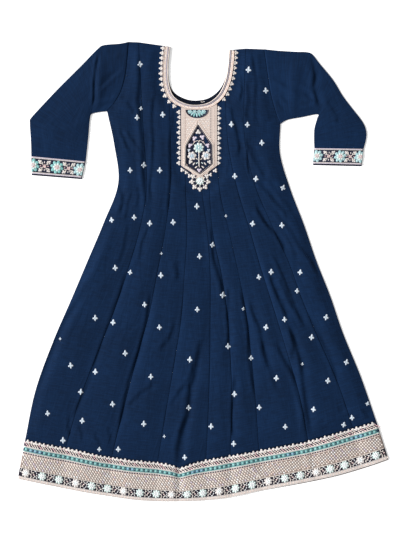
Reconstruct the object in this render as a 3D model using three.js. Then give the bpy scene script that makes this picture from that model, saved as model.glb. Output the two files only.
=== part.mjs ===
// A flared kalidar kurta laid out flat, face up: front panels lie on back panels, flattened sleeve
// tubes lie beside them, and the embroidered bands are sewn on at neck, placket, cuffs and hem.
// Millimetres. +X to the right as seen from above, +Y towards the neck, +Z up.
import * as THREE from "three";

// ---------------------------------------------------------------- driving dimensions
const CLOTH_WALL = 1.2;
const BAND_WALL = 1.8;
const TRIM_WALL = 1.2;
const SEAM_GAP = 0.3;
const FRONT_BASE = CLOTH_WALL + SEAM_GAP;
const TRIM_BASE = FRONT_BASE + CLOTH_WALL + SEAM_GAP;
// Moves the layout so that the middle of its outline stands on the origin.
const CENTRE = { x: 0, y: 0.28 };

const UPPER_ROWS = 7;
const NECK_ROWS = 3;
const SKIRT_ROWS = 24;
const BACK_COLUMNS = 2;

// Levels down a seam, from the bust line (0) to the top of the hem border (1).
const LEVELS = {
  bust: 0, underbust: 0.1, waist: 0.22, highHip: 0.34, hip: 0.46,
  thigh: 0.58, knee: 0.7, calf: 0.85, border: 1,
};

// Each long seam: the height of its bust line and of its foot, and its place across at each level.
const SEAMS = {
  sideLeft: { bustY: 432, footY: -454, across: [-259, -240, -229, -268, -313, -358, -404, -452, -480] },
  princessLeft: { bustY: 425, footY: -477, across: [-163, -157, -151, -169, -200, -236, -278, -330, -370] },
  kaliLeftOuter: { bustY: 420, footY: -503, across: [-89, -86, -88, -102, -123, -145, -176, -212, -246] },
  kaliLeftInner: { bustY: 417, footY: -515, across: [-51, -49, -46, -43, -50, -58, -75, -99, -122] },
  centre: { bustY: 414, footY: -510, across: [-15, -10, -2, 13, 20, 20, 19, 15, 8] },
  kaliRightInner: { bustY: 412, footY: -498, across: [14, 14, 18, 27, 50, 66, 74, 79, 74] },
  kaliRightMid: { bustY: 410, footY: -485, across: [39, 39, 46, 71, 95, 116, 129, 142, 151] },
  kaliRightOuter: { bustY: 409, footY: -460, across: [62, 71, 94, 126, 156, 189, 221, 259, 284] },
  princessRight: { bustY: 405, footY: -426, across: [109, 118, 144, 187, 232, 268, 310, 364, 405] },
  sideRight: { bustY: 398, footY: -405, across: [209, 208, 236, 273, 306, 344, 377, 426, 468] },
};

// Front neck edge from the left shoulder round the bottom of the U to the right shoulder.
const NECK_EDGE = [
  [-88, 606], [-93, 552], [-91, 506], [-78, 472], [-47, 453],
  [-14, 449], [18, 457], [44, 480], [60, 516], [67, 556], [70, 597],
];
const BACK_NECK_RISE = 12;
const NECK_BOTTOM_Y = 449;
const NECK_RISE_SPAN = 110;

// Where each kali seam meets the neck edge, as a share of the way round it.
const NECK_MEETS = {
  kaliLeftOuter: 0.29, kaliLeftInner: 0.4, centre: 0.5,
  kaliRightInner: 0.585, kaliRightMid: 0.67, kaliRightOuter: 0.79,
};

// How much of a panel's edge beside the neck, from shoulder to bust line, runs along the neckline.
const NECK_SHARE = 0.72;

// Where the two princess seams meet the shoulder seams.
const PRINCESS_TOP_LEFT = [-173, 618];
const PRINCESS_TOP_RIGHT = [116, 601];
const ARMHOLE_LEFT = [[-200, 619], [-204, 572], [-210, 524], [-222, 484], [-239, 455], [-259, 432]];
const ARMHOLE_RIGHT = [[165, 599], [170, 562], [176, 522], [184, 476], [195, 434], [209, 398]];

// A sleeve: its upper edge from shoulder to cuff, its under edge from armpit to cuff, the cuff's end,
// and how far along X it stands off the armhole curve, which takes more where the curve leans.
const SLEEVES = {
  left: {
    armhole: ARMHOLE_LEFT,
    upper: [[-200, 619], [-224, 614], [-267, 610], [-284, 600], [-328, 555], [-386, 497], [-425, 456],
      [-464, 413], [-467, 400], [-464, 350], [-463, 310]],
    under: [[-259, 432], [-279, 430], [-300, 425], [-305, 412], [-309, 370], [-313, 332], [-317, 296]],
    cuffEnd: [[-462, 263], [-327, 252]],
    standsOff: -0.48,
  },
  right: {
    armhole: ARMHOLE_RIGHT,
    upper: [[165, 599], [202, 595], [251, 592], [280, 591], [295, 585], [315, 560], [351, 516],
      [378, 472], [403, 439], [430, 404], [440, 380], [440, 358], [433, 330]],
    under: [[209, 398], [228, 409], [265, 416], [309, 424], [308, 412], [301, 385], [300, 354], [301, 332]],
    cuffEnd: [[428, 287], [297, 290]],
    standsOff: 0.25,
  },
};
// How the flattened sleeve swells between its two edges, and the crease where it bends.
const SLEEVE_ROWS = 13;
const SLEEVE_COLUMNS = UPPER_ROWS;
const SLEEVE_BELLY = 3.2;
const SLEEVE_CREASE = { along: 0.2, halfWidth: 0.07, height: 2.4 };
// The swell grows over the first share of the length, and is drawn in again before the cuff.
const SLEEVE_SWELL = { growsOver: 0.25, drawnFrom: 0.75, drawnTo: 0.5 };
const EDGE_ROUND = 0.7;
const CUFF_ROWS = 2;
const CUFF_UNDERLAP = 3.5;

// Panels between neighbouring seams. belly is how high the cloth stands between its seams at waist,
// knee and border; lean below 1 brings the crest nearer the panel's right hand seam.
// columns is how many cells of cloth the panel is modelled with from seam to seam.
const PANEL_COLUMNS = ["name", "from", "to", "columns", "belly", "lean"];
const PANELS = [
  ["side_left", "sideLeft", "princessLeft", 7, [2.5, 5, 3.6], 0.9],
  ["princess_left", "princessLeft", "kaliLeftOuter", 6, [3, 5.5, 4.2], 1.2],
  ["kali_left_outer", "kaliLeftOuter", "kaliLeftInner", 6, [0, 4.5, 4], 0.8],
  ["kali_left_inner", "kaliLeftInner", "centre", 11, [0, 5, 3.8], 1],
  ["kali_centre", "centre", "kaliRightInner", 4, [0, 3.6, 3.2], 1.1],
  ["kali_right_inner", "kaliRightInner", "kaliRightMid", 5, [0, 5, 3.8], 0.8],
  ["kali_right_outer", "kaliRightMid", "kaliRightOuter", 6, [0, 5.2, 4.6], 1.2],
  ["princess_right", "kaliRightOuter", "princessRight", 7, [2.5, 6.5, 6], 0.7],
  ["side_right", "princessRight", "sideRight", 7, [3, 5, 3.6], 1],
].map((row) => Object.fromEntries(row.map((value, k) => [PANEL_COLUMNS[k], value])));
const BELLY_STARTS = { beside: 0.04, underPlacket: 0.24, grows: 0.22 };
// A fold fades in and out over this share of its length, and ends a little past its last point.
const FOLD_FADE = { over: 0.2, end: 1.12 };

// The largest single folds: where each runs, half its width, and its height (below 0 is a trough).
const FOLDS = [
  { name: "left princess tuck",   from: [-168, 410], to: [-154, 150],  halfWidth: 20, height: 3.2 },
  { name: "left side flare",      from: [-240, 110], to: [-370, -160], halfWidth: 26, height: 2.6 },
  { name: "left armpit drag",     from: [-250, 420], to: [-196, 372],  halfWidth: 18, height: 1.6 },
  { name: "hem pleat",            from: [-14, -190], to: [-63, -531],  halfWidth: 19, height: -4.4 },
  { name: "right kali tuck",      from: [150, 60],   to: [262, -330],  halfWidth: 20, height: 2.6 },
  { name: "right princess tuck",  from: [160, 180],  to: [262, -20],   halfWidth: 22, height: -3.0 },
  { name: "right side flare",     from: [146, 340],  to: [262, 90],    halfWidth: 22, height: 2.4 },
  { name: "right deep pleat",     from: [262, -280], to: [276, -470],  halfWidth: 22, height: 3.4 },
];

// Hem border: its top edge with the notch where the cloth is pleated, and the hem line itself.
const BORDER_TOP = [
  [-480, -454], [-414, -468], [-358, -478], [-268, -498], [-197, -508], [-122, -515], [-84, -522],
  [-63, -531], [-42, -523], [-18, -515], [27, -506], [154, -483], [277, -460], [389, -428], [468, -405],
];
const HEM_LINE = [
  [-500, -560], [-369, -587], [-279, -603], [-197, -615], [-137, -620], [-76, -620.4], [4, -618],
  [72, -610], [154, -592], [266, -570], [329, -557], [378, -545], [445, -525], [500, -506],
];
const PLEAT = { panel: "kali_left_inner", column: 5, hemX: -66 };
const BORDER_ROWS = 2;
const BORDER_RELAX = 0.45;
const BACK_HEM_DROP = { depth: 3, startX: 40, over: 300 };

// Embroidered neck band and placket.
const NECK_BAND = { inset: 0.6, solid: 15, scallop: 9, scallops: 46, starts: 0.004, ends: 0.996 };
const NECK_TANGENT_STEP = 0.002;
const PLACKET = {
  left: -59, right: 38, cornerY: 285, scallop: 9, pitch: 14.5,
  // The shares of the neckline among which its top edge is looked for, and how far above the U.
  top: { starts: 0.2, ends: 0.8, step: 0.02, reach: 12 },
  // Degrees round the medallion: its first and last lobe, and where the two lower edges meet it.
  medallion: {
    x: -8, y: 244, radius: 23, lobe: 6, lobes: 7, lobesFrom: 48, lobesTo: -228, right: 55, left: 125,
  },
};
const LOZENGE = [[-13, 392], [-44, 337], [-45, 287], [-8, 264], [24, 290], [23, 340]];
const HALF_MOON = { x: -16, y: 430.5, halfWidth: 29, depth: 17 };
const PETAL_DEPTH = 0.16;
const FLOWERS = {
  placket_flower_centre: { x: -11, y: 333, radius: 12.5, petals: 8, on: "panel" },
  placket_flower_left: { x: -29.5, y: 311, radius: 9.5, petals: 6, on: "panel" },
  placket_flower_right: { x: 9, y: 312, radius: 9.5, petals: 6, on: "panel" },
  medallion_flower: { x: -8, y: 244, radius: 15, petals: 8, on: "placket" },
};

const COLOURS = {
  cloth: { color: 0x15294b, roughness: 0.72 },
  border: { color: 0xb9aaa6, roughness: 0.66 },
  embroidery: { color: 0xdccabf, roughness: 0.62 },
  flower: { color: 0xb5d8d4, roughness: 0.55 },
};

// ---------------------------------------------------------------- curves
const mix = (a, b, t) => a + (b - a) * t;
const smooth = (t) => {
  const c = Math.min(1, Math.max(0, t));
  return c * c * (3 - 2 * c);
};

// A smooth curve through hand-placed points, walked by arc length from 0 to 1.
function curveThrough(points) {
  const curve = new THREE.SplineCurve(points.map(([x, y]) => new THREE.Vector2(x, y)));
  curve.arcLengthDivisions = 400;
  return (t) => {
    const p = curve.getPointAt(Math.min(1, Math.max(0, t)));
    return [p.x, p.y];
  };
}

// A value read off a table of stations, eased through them by a cubic with the table's own slopes.
function readTable(stations, values, at) {
  const last = stations.length - 1;
  let k = 0;
  while (k < last - 1 && at > stations[k + 1]) k += 1;
  const span = stations[k + 1] - stations[k];
  const t = (at - stations[k]) / span;
  const slope = (i) => {
    const a = Math.max(0, i - 1);
    const b = Math.min(last, i + 1);
    return ((values[b] - values[a]) / (stations[b] - stations[a])) * span;
  };
  const [h1, h2] = [slope(k), slope(k + 1)];
  const t2 = t * t;
  const t3 = t2 * t;
  return (2 * t3 - 3 * t2 + 1) * values[k] + (t3 - 2 * t2 + t) * h1
    + (-2 * t3 + 3 * t2) * values[k + 1] + (t3 - t2) * h2;
}

// A line's height at x, where its points run from left to right.
function heightOf(line, x) {
  const last = line.length - 1;
  let k = 0;
  while (k < last - 1 && x > line[k + 1][0]) k += 1;
  const [[x0, y0], [x1, y1]] = [line[k], line[k + 1]];
  return mix(y0, y1, (x - x0) / (x1 - x0));
}

const levelStations = Object.values(LEVELS);
function seamPoint(seamName, level) {
  const seam = SEAMS[seamName];
  return [readTable(levelStations, seam.across, level), mix(seam.bustY, seam.footY, level)];
}

const neckEdge = curveThrough(NECK_EDGE);
// The back neckline is cut a little higher than the front one at the bottom of the U.
function backNeckEdge(t) {
  const [x, y] = neckEdge(t);
  return [x, y + BACK_NECK_RISE * smooth(1 - (y - NECK_BOTTOM_Y) / NECK_RISE_SPAN)];
}

// ---------------------------------------------------------------- relief of the front layer
function foldRelief(x, y) {
  let sum = 0;
  for (const fold of FOLDS) {
    const [ax, ay] = fold.from;
    const [dx, dy] = [fold.to[0] - ax, fold.to[1] - ay];
    const length = Math.hypot(dx, dy);
    const along = ((x - ax) * dx + (y - ay) * dy) / (length * length);
    const aside = Math.abs((x - ax) * dy - (y - ay) * dx) / length;
    const fades = smooth(along / FOLD_FADE.over) * smooth((FOLD_FADE.end - along) / FOLD_FADE.over);
    sum += fold.height * fades * smooth(1 - aside / fold.halfWidth);
  }
  return sum;
}

function bellyOf(panel, level) {
  const [waist, knee, border] = panel.belly;
  const starts = waist > 0 ? BELLY_STARTS.beside : BELLY_STARTS.underPlacket;
  const height = level < LEVELS.knee
    ? mix(waist, knee, smooth((level - starts) / (LEVELS.knee - starts)))
    : mix(knee, border, (level - LEVELS.knee) / (LEVELS.border - LEVELS.knee));
  return height * smooth((level - starts) / BELLY_STARTS.grows);
}

function frontHeight(panel, across, level, x, y) {
  const belly = level > 0 ? bellyOf(panel, level) * Math.sin(Math.PI * across ** panel.lean) : 0;
  return FRONT_BASE + Math.max(0, belly + foldRelief(x, y));
}

// ---------------------------------------------------------------- closed walls from grids
// Closes a top and an under surface, given as rows of [x, y, z], round their common rim.
function closeWall(over, under) {
  const rows = over.length;
  const columns = over[0].length;
  const positions = [...over.flat(2), ...under.flat(2)];
  const shift = rows * columns;
  const at = (r, c) => r * columns + c;
  const index = [];
  const quad = (a, b, c, d) => index.push(a, b, c, a, c, d);
  for (let r = 0; r < rows - 1; r += 1) {
    for (let c = 0; c < columns - 1; c += 1) {
      quad(at(r, c), at(r + 1, c), at(r + 1, c + 1), at(r, c + 1));
      quad(at(r, c) + shift, at(r, c + 1) + shift, at(r + 1, c + 1) + shift, at(r + 1, c) + shift);
    }
  }
  const rim = [];
  for (let c = 0; c < columns - 1; c += 1) rim.push(at(0, c));
  for (let r = 0; r < rows - 1; r += 1) rim.push(at(r, columns - 1));
  for (let c = columns - 1; c > 0; c -= 1) rim.push(at(rows - 1, c));
  for (let r = rows - 1; r > 0; r -= 1) rim.push(at(r, 0));
  rim.forEach((here, k) => {
    const next = rim[(k + 1) % rim.length];
    quad(here, next, next + shift, here + shift);
  });
  return closedGeometry(positions, index);
}

// Joins rings of outer and inner points, row after row, into a tube wall that is open at both ends.
function closeTube(outer, inner) {
  const rows = outer.length;
  const around = outer[0].length;
  const positions = [...outer.flat(2), ...inner.flat(2)];
  const shift = rows * around;
  const at = (r, k) => r * around + (k % around);
  const index = [];
  const quad = (a, b, c, d) => index.push(a, b, c, a, c, d);
  for (let k = 0; k < around; k += 1) {
    for (let r = 0; r < rows - 1; r += 1) {
      quad(at(r, k), at(r, k + 1), at(r + 1, k + 1), at(r + 1, k));
      quad(at(r, k) + shift, at(r + 1, k) + shift, at(r + 1, k + 1) + shift, at(r, k + 1) + shift);
    }
    quad(at(0, k), at(0, k) + shift, at(0, k + 1) + shift, at(0, k + 1));
    const end = rows - 1;
    quad(at(end, k), at(end, k + 1), at(end, k + 1) + shift, at(end, k) + shift);
  }
  return closedGeometry(positions, index);
}

// Makes the buffer geometry and turns its faces outward if they point in.
function closedGeometry(positions, index) {
  let volume = 0;
  const p = (i) => positions.slice(3 * i, 3 * i + 3);
  for (let k = 0; k < index.length; k += 3) {
    const [a, b, c] = [p(index[k]), p(index[k + 1]), p(index[k + 2])];
    volume += a[0] * (b[1] * c[2] - b[2] * c[1]) - a[1] * (b[0] * c[2] - b[2] * c[0])
      + a[2] * (b[0] * c[1] - b[1] * c[0]);
  }
  if (volume < 0) index.reverse();
  const geometry = new THREE.BufferGeometry();
  geometry.setAttribute("position", new THREE.Float32BufferAttribute(positions, 3));
  geometry.setIndex(index);
  geometry.computeVertexNormals();
  return geometry;
}

const lifted = (grid, wall) => grid.map((row) => row.map(([x, y, z]) => [x, y, z + wall]));

// ---------------------------------------------------------------- panels of front and back
// The edge of a panel above the bust line, from its top down to the bust line.
function upperEdge(seamName, besideNeck, neck) {
  const bust = seamPoint(seamName, 0);
  if (seamName === "sideLeft") return curveThrough(ARMHOLE_LEFT);
  if (seamName === "sideRight") return curveThrough(ARMHOLE_RIGHT);
  if (seamName === "princessLeft") return (t) => blendPoints(PRINCESS_TOP_LEFT, bust, t);
  if (seamName === "princessRight") return (t) => blendPoints(PRINCESS_TOP_RIGHT, bust, t);
  const meets = NECK_MEETS[seamName];
  if (!besideNeck) return (t) => blendPoints(neck(meets), bust, t);
  const fromShoulder = seamName === "kaliLeftOuter" ? 0 : 1;
  const corner = neck(meets);
  return (t) => (t < NECK_SHARE
    ? neck(mix(fromShoulder, meets, t / NECK_SHARE))
    : blendPoints(corner, bust, (t - NECK_SHARE) / (1 - NECK_SHARE)));
}

const blendPoints = (a, b, t) => [mix(a[0], b[0], t), mix(a[1], b[1], t)];

// The top edge of a panel: along the neck where it starts there, else along the shoulder seam.
function topEdge(panel, neck, left, right) {
  const [a, b] = [NECK_MEETS[panel.from], NECK_MEETS[panel.to]];
  if (a !== undefined && b !== undefined) return (u) => neck(mix(a, b, u));
  return (u) => blendPoints(left(0), right(0), u);
}

// Rows of points across a panel, from its top edge to its foot, each [x, y, level].
function panelPoints(panel, columns, skirtLevels, neck) {
  const byNeck = NECK_MEETS[panel.from] !== undefined && NECK_MEETS[panel.to] !== undefined;
  const left = upperEdge(panel.from, !byNeck, neck);
  const right = upperEdge(panel.to, !byNeck, neck);
  const top = topEdge(panel, neck, left, right);
  const upperRows = byNeck ? NECK_ROWS : UPPER_ROWS;
  const grid = [];
  for (let r = 0; r < upperRows; r += 1) {
    const t = r / upperRows;
    grid.push(acrossRow(columns, (u) => {
      const straight = blendPoints(left(t), right(t), u);
      const chord = blendPoints(left(0), right(0), u);
      const edge = top(u);
      const fade = 1 - t;
      return [straight[0] + (edge[0] - chord[0]) * fade, straight[1] + (edge[1] - chord[1]) * fade, 0];
    }));
  }
  const [footA, footB] = [panel.from, panel.to].map((seam) => seamPoint(seam, LEVELS.border));
  for (const level of skirtLevels) {
    const [a, b] = [seamPoint(panel.from, level), seamPoint(panel.to, level)];
    const fade = smooth((level - LEVELS.calf) / (LEVELS.border - LEVELS.calf));
    grid.push(acrossRow(columns, (u) => {
      const [x, y] = blendPoints(a, b, u);
      const [footX, footY] = blendPoints(footA, footB, u);
      return [x, y + (heightOf(BORDER_TOP, footX) - footY) * fade, level];
    }));
  }
  return grid;
}

function acrossRow(columns, pointAt) {
  return Array.from({ length: columns + 1 }, (_, c) => pointAt(c / columns));
}

// Draws the rim of a panel in by half a seam gap, so that neighbours lie a whole gap apart.
function insetRim(grid) {
  const lastRow = grid.length - 1;
  const lastColumn = grid[0].length - 1;
  return grid.map((row, r) => row.map(([x, y, ...rest], c) => {
    const dx = (c === 0 ? 1 : 0) - (c === lastColumn ? 1 : 0);
    const dy = (r === lastRow ? 1 : 0) - (r === 0 ? 1 : 0);
    return [x + (dx * SEAM_GAP) / 2, y + (dy * SEAM_GAP) / 2, ...rest];
  }));
}

const levelRows = (rows) => Array.from({ length: rows + 1 }, (_, r) => r / rows);
const frontPanel = (panel) => {
  const points = panelPoints(panel, panel.columns, levelRows(SKIRT_ROWS), neckEdge);
  return insetRim(points).map((row) => row.map(([x, y, level], c) => (
    [x, y, frontHeight(panel, c / panel.columns, level, x, y)]
  )));
};

const backPanel = (panel) => {
  const points = panelPoints(panel, BACK_COLUMNS, levelRows(SKIRT_ROWS / 2), backNeckEdge);
  return insetRim(points).map((row) => row.map(([x, y]) => [x, y, 0]));
};

// ---------------------------------------------------------------- sleeves and cuffs
// One flattened ring of a sleeve or cuff: along the under layer, round the fold, back along the top.
function flattenedRing(pointAcross, columns, relief, wall, inward) {
  const edge = pointAcross(0);
  const far = pointAcross(1);
  const width = Math.hypot(far[0] - edge[0], far[1] - edge[1]);
  const margin = inward / width;
  const topBase = wall + SEAM_GAP;
  const layer = (c, z) => {
    const [x, y] = pointAcross(mix(margin, 1 - margin, c / columns));
    return [x, y, z];
  };
  const underZ = inward ? wall : 0;
  const ring = [];
  for (let c = 0; c <= columns; c += 1) ring.push(layer(c, underZ));
  const fold = (u, side) => {
    const [x, y] = pointAcross(u + side * (margin - (inward ? 0 : EDGE_ROUND / width)));
    return [x, y, topBase - SEAM_GAP / 2];
  };
  ring.push(fold(1, -1));
  for (let c = columns; c >= 0; c -= 1) {
    ring.push(layer(c, topBase + relief(c / columns) + (inward ? 0 : wall)));
  }
  ring.push(fold(0, 1));
  return ring;
}

// Across a row from the upper edge (0) to the under edge (1), straight on past either end.
const acrossLine = (a, b) => (u) => [mix(a[0], b[0], u), mix(a[1], b[1], u)];

// The row of a sleeve at v, bowed like the armhole seam where it starts and straight at the cuff.
function sleeveRow(sleeve, v) {
  const armhole = curveThrough(sleeve.armhole);
  const a = curveThrough(sleeve.upper)(v);
  const b = curveThrough(sleeve.under)(v);
  const chord = acrossLine(armhole(0), armhole(1));
  const line = acrossLine(a, b);
  const bow = (1 - v) ** 2;
  return (u) => {
    const [x, y] = line(u);
    if (u < 0 || u > 1) return [x, y];
    const [ax, ay] = armhole(u);
    const [cx, cy] = chord(u);
    return [x + (ax - cx) * bow, y + (ay - cy) * bow];
  };
}

function sleeveRelief(v) {
  const crease = 1 - Math.abs(v - SLEEVE_CREASE.along) / SLEEVE_CREASE.halfWidth;
  const swell = SLEEVE_BELLY * smooth(v / SLEEVE_SWELL.growsOver) + SLEEVE_CREASE.height * smooth(crease);
  const { drawnFrom, drawnTo } = SLEEVE_SWELL;
  const drawn = mix(1, drawnTo, smooth((v - drawnFrom) / (1 - drawnFrom)));
  return (u) => swell * drawn * Math.sin(Math.PI * u);
}

function buildSleeve(sleeve) {
  const outer = [];
  const inner = [];
  for (let r = 0; r <= SLEEVE_ROWS; r += 1) {
    const v = r / SLEEVE_ROWS;
    const row = sleeveRow(sleeve, v);
    const gapX = r === 0 ? sleeve.standsOff : 0;
    const gapY = r === SLEEVE_ROWS ? SEAM_GAP / 2 : 0;
    const at = (u) => {
      const [x, y] = row(u);
      return [x + gapX, y + gapY];
    };
    outer.push(flattenedRing(at, SLEEVE_COLUMNS, sleeveRelief(v), CLOTH_WALL, 0));
    inner.push(flattenedRing(at, SLEEVE_COLUMNS, sleeveRelief(v), CLOTH_WALL, CLOTH_WALL));
  }
  return closeTube(outer, inner);
}

function buildCuff(sleeve) {
  const start = sleeveRow(sleeve, 1);
  const end = acrossLine(...sleeve.cuffEnd);
  const relief = sleeveRelief(1);
  const outer = [];
  const inner = [];
  for (let r = 0; r <= CUFF_ROWS; r += 1) {
    const v = r / CUFF_ROWS;
    const at = (u) => {
      const [x, y] = blendPoints(start(u), end(u), v);
      return [x, y - (r === 0 ? SEAM_GAP / 2 : 0)];
    };
    const drop = v * CUFF_UNDERLAP;
    const layered = (ring) => ring.map(([x, y, z], k) => [x, k <= SLEEVE_COLUMNS ? y - drop : y, z]);
    outer.push(layered(flattenedRing(at, SLEEVE_COLUMNS, relief, BAND_WALL, 0)));
    inner.push(layered(flattenedRing(at, SLEEVE_COLUMNS, relief, BAND_WALL, BAND_WALL)));
  }
  return closeTube(outer, inner);
}

// ---------------------------------------------------------------- hem border
// Every column at the feet of a layer's panels, left to right, once each.
function footColumns(columnsOf) {
  const columns = [];
  PANELS.forEach((panel, k) => {
    const count = columnsOf(panel);
    const foot = panelPoints(panel, count, [LEVELS.border], neckEdge).at(-1);
    foot.forEach(([x, y], c) => {
      if (k > 0 && c === 0) return;
      const height = frontHeight(panel, c / count, LEVELS.border, x, y) - FRONT_BASE;
      const pleat = panel.name === PLEAT.panel && c === PLEAT.column;
      columns.push({ x, y, height, pleat });
    });
  });
  return columns;
}

// The border's points from the columns above it down to the hem line between two places on it.
function borderPoints(columns, hemFrom, hemTo) {
  const first = columns[0].x;
  const span = columns.at(-1).x - first;
  return Array.from({ length: BORDER_ROWS + 1 }, (_, r) => columns.map(({ x, y, height }) => {
    const v = r / BORDER_ROWS;
    const hemX = mix(hemFrom, hemTo, (x - first) / span);
    return [mix(x, hemX, v), mix(y, heightOf(HEM_LINE, hemX), v), height * mix(1, BORDER_RELAX, v)];
  }));
}

const frontBorder = (columns, hemFrom, hemTo) => insetRim(borderPoints(columns, hemFrom, hemTo))
  .map((row) => row.map(([x, y, height]) => [x, y, FRONT_BASE + height]));

// The border of the back layer lies flat, and hangs a little lower than the front one on the right.
const backBorder = (columns, hemFrom, hemTo) => insetRim(borderPoints(columns, hemFrom, hemTo))
  .map((row, r) => row.map(([x, y]) => {
    const drop = (BACK_HEM_DROP.depth * r) / BORDER_ROWS;
    return [x, y - drop * smooth((x - BACK_HEM_DROP.startX) / BACK_HEM_DROP.over), 0];
  }));

// ---------------------------------------------------------------- neck band, placket and flowers
function neckOffset(t, distance) {
  const [x0, y0] = neckEdge(t - NECK_TANGENT_STEP);
  const [x1, y1] = neckEdge(t + NECK_TANGENT_STEP);
  const length = Math.hypot(x1 - x0, y1 - y0);
  const [x, y] = neckEdge(t);
  return [x + ((y1 - y0) / length) * distance, y - ((x1 - x0) / length) * distance];
}

// Points run down the inner edge and the scalloped outer edge; beside the placket the edge is plain.
function neckBand() {
  const count = NECK_BAND.scallops * 2;
  const grid = [[], []];
  for (let k = 0; k <= count; k += 1) {
    const t = mix(NECK_BAND.starts, NECK_BAND.ends, k / count);
    const inner = neckOffset(t, NECK_BAND.inset);
    const base = neckOffset(t, NECK_BAND.solid);
    const besidePlacket = base[0] > PLACKET.left - PLACKET.scallop
      && base[0] < PLACKET.right + PLACKET.scallop
      && base[1] < NECK_BOTTOM_Y + PLACKET.top.reach;
    const peak = k % 2 === 1 && !besidePlacket;
    const outer = peak ? neckOffset(t, NECK_BAND.solid + NECK_BAND.scallop) : base;
    grid[0].push([...inner, TRIM_BASE]);
    grid[1].push([...outer, TRIM_BASE]);
  }
  return grid;
}

// The neck band's outer edge over the placket, as the placket's top edge, a seam gap below it.
function placketTop() {
  const { starts, ends, step, reach } = PLACKET.top;
  const points = [];
  for (let t = starts; t < ends; t += step) {
    const [x, y] = neckOffset(t, NECK_BAND.solid + 2 * SEAM_GAP);
    if (x > PLACKET.left && x < PLACKET.right && y < NECK_BOTTOM_Y + reach) points.push([x, y]);
  }
  return points;
}

function scallopedSide(from, to, depth) {
  const length = Math.hypot(to[0] - from[0], to[1] - from[1]);
  const count = Math.round(length / PLACKET.pitch);
  const normal = [(to[1] - from[1]) / length, -(to[0] - from[0]) / length];
  const points = [];
  for (let k = 0; k < count; k += 1) {
    const valley = blendPoints(from, to, k / count);
    const peak = blendPoints(from, to, (k + 0.5) / count);
    points.push(valley, [peak[0] + normal[0] * depth, peak[1] + normal[1] * depth]);
  }
  return points;
}

function placketShape() {
  const top = placketTop();
  const { x: mx, y: my, radius, lobe, lobes, lobesFrom, lobesTo, right, left } = PLACKET.medallion;
  const rightShoulder = [PLACKET.right, top.at(-1)[1]];
  const rightCorner = [PLACKET.right, PLACKET.cornerY];
  const leftCorner = [PLACKET.left, PLACKET.cornerY];
  const onMedallion = (degrees, reach) => {
    const a = THREE.MathUtils.degToRad(degrees);
    return [mx + reach * Math.cos(a), my + reach * Math.sin(a)];
  };
  const outline = [...top, ...scallopedSide(rightCorner, rightShoulder, PLACKET.scallop).reverse()];
  outline.push(...scallopedSide(onMedallion(right, radius), rightCorner, PLACKET.scallop).reverse());
  for (let k = 0; k <= 2 * lobes; k += 1) {
    outline.push(onMedallion(mix(lobesFrom, lobesTo, k / (2 * lobes)), k % 2 ? radius + lobe : radius));
  }
  outline.push(...scallopedSide(leftCorner, onMedallion(left, radius), PLACKET.scallop).reverse());
  outline.push(...scallopedSide([PLACKET.left, top[0][1]], leftCorner, PLACKET.scallop).reverse());
  const shape = new THREE.Shape(outline.map(([x, y]) => new THREE.Vector2(x, y)));
  shape.holes.push(new THREE.Path(LOZENGE.map(([x, y]) => new THREE.Vector2(x, y))));
  shape.holes.push(halfMoonPath());
  return shape;
}

function halfMoonPath() {
  const steps = 8;
  const points = [];
  for (let k = 0; k <= steps; k += 1) {
    const a = Math.PI * (1 + k / steps);
    points.push(new THREE.Vector2(
      HALF_MOON.x + HALF_MOON.halfWidth * Math.cos(a),
      HALF_MOON.y + HALF_MOON.depth * Math.sin(a),
    ));
  }
  return new THREE.Path(points);
}

function flowerShape({ x, y, radius, petals }) {
  const corners = petals * 4;
  const points = Array.from({ length: corners }, (_, k) => {
    const a = (2 * Math.PI * k) / corners;
    const reach = radius * (1 - PETAL_DEPTH + PETAL_DEPTH * Math.cos(petals * a));
    return new THREE.Vector2(x + reach * Math.cos(a), y + reach * Math.sin(a));
  });
  return new THREE.Shape(points);
}

// ---------------------------------------------------------------- the garment
const garment = new THREE.Group();

function addPiece(name, finish, geometry, height = 0) {
  const material = new THREE.MeshStandardMaterial({ ...COLOURS[finish], metalness: 0 });
  const mesh = new THREE.Mesh(geometry, material);
  mesh.name = name;
  mesh.position.set(CENTRE.x, CENTRE.y, height);
  garment.add(mesh);
}

function addCloth(name, finish, under, wall) {
  addPiece(name, finish, closeWall(lifted(under, wall), under));
}

for (const panel of PANELS) {
  addCloth(`front_${panel.name}`, "cloth", frontPanel(panel), CLOTH_WALL);
  addCloth(`back_${panel.name}`, "cloth", backPanel(panel), CLOTH_WALL);
}

for (const [side, sleeve] of Object.entries(SLEEVES)) {
  addPiece(`sleeve_${side}`, "cloth", buildSleeve(sleeve));
  addPiece(`cuff_band_${side}`, "border", buildCuff(sleeve));
}

const columns = footColumns((panel) => panel.columns);
const pleatAt = columns.findIndex((column) => column.pleat);
const [hemLeft, hemRight] = [HEM_LINE[0][0], HEM_LINE.at(-1)[0]];
const borderLeft = frontBorder(columns.slice(0, pleatAt + 1), hemLeft, PLEAT.hemX);
const borderRight = frontBorder(columns.slice(pleatAt), PLEAT.hemX, hemRight);
addCloth("hem_border_left", "border", borderLeft, BAND_WALL);
addCloth("hem_border_right", "border", borderRight, BAND_WALL);
const backColumns = footColumns(() => BACK_COLUMNS);
addCloth("hem_border_back", "border", backBorder(backColumns, hemLeft, hemRight), CLOTH_WALL);

addCloth("neck_band", "embroidery", neckBand(), TRIM_WALL);
const plate = { depth: TRIM_WALL, bevelEnabled: false };
addPiece("placket", "embroidery", new THREE.ExtrudeGeometry(placketShape(), plate), TRIM_BASE);
for (const [name, flower] of Object.entries(FLOWERS)) {
  const height = flower.on === "panel" ? TRIM_BASE : TRIM_BASE + TRIM_WALL + SEAM_GAP;
  addPiece(name, "flower", new THREE.ExtrudeGeometry(flowerShape(flower), plate), height);
}

export default garment;
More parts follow.
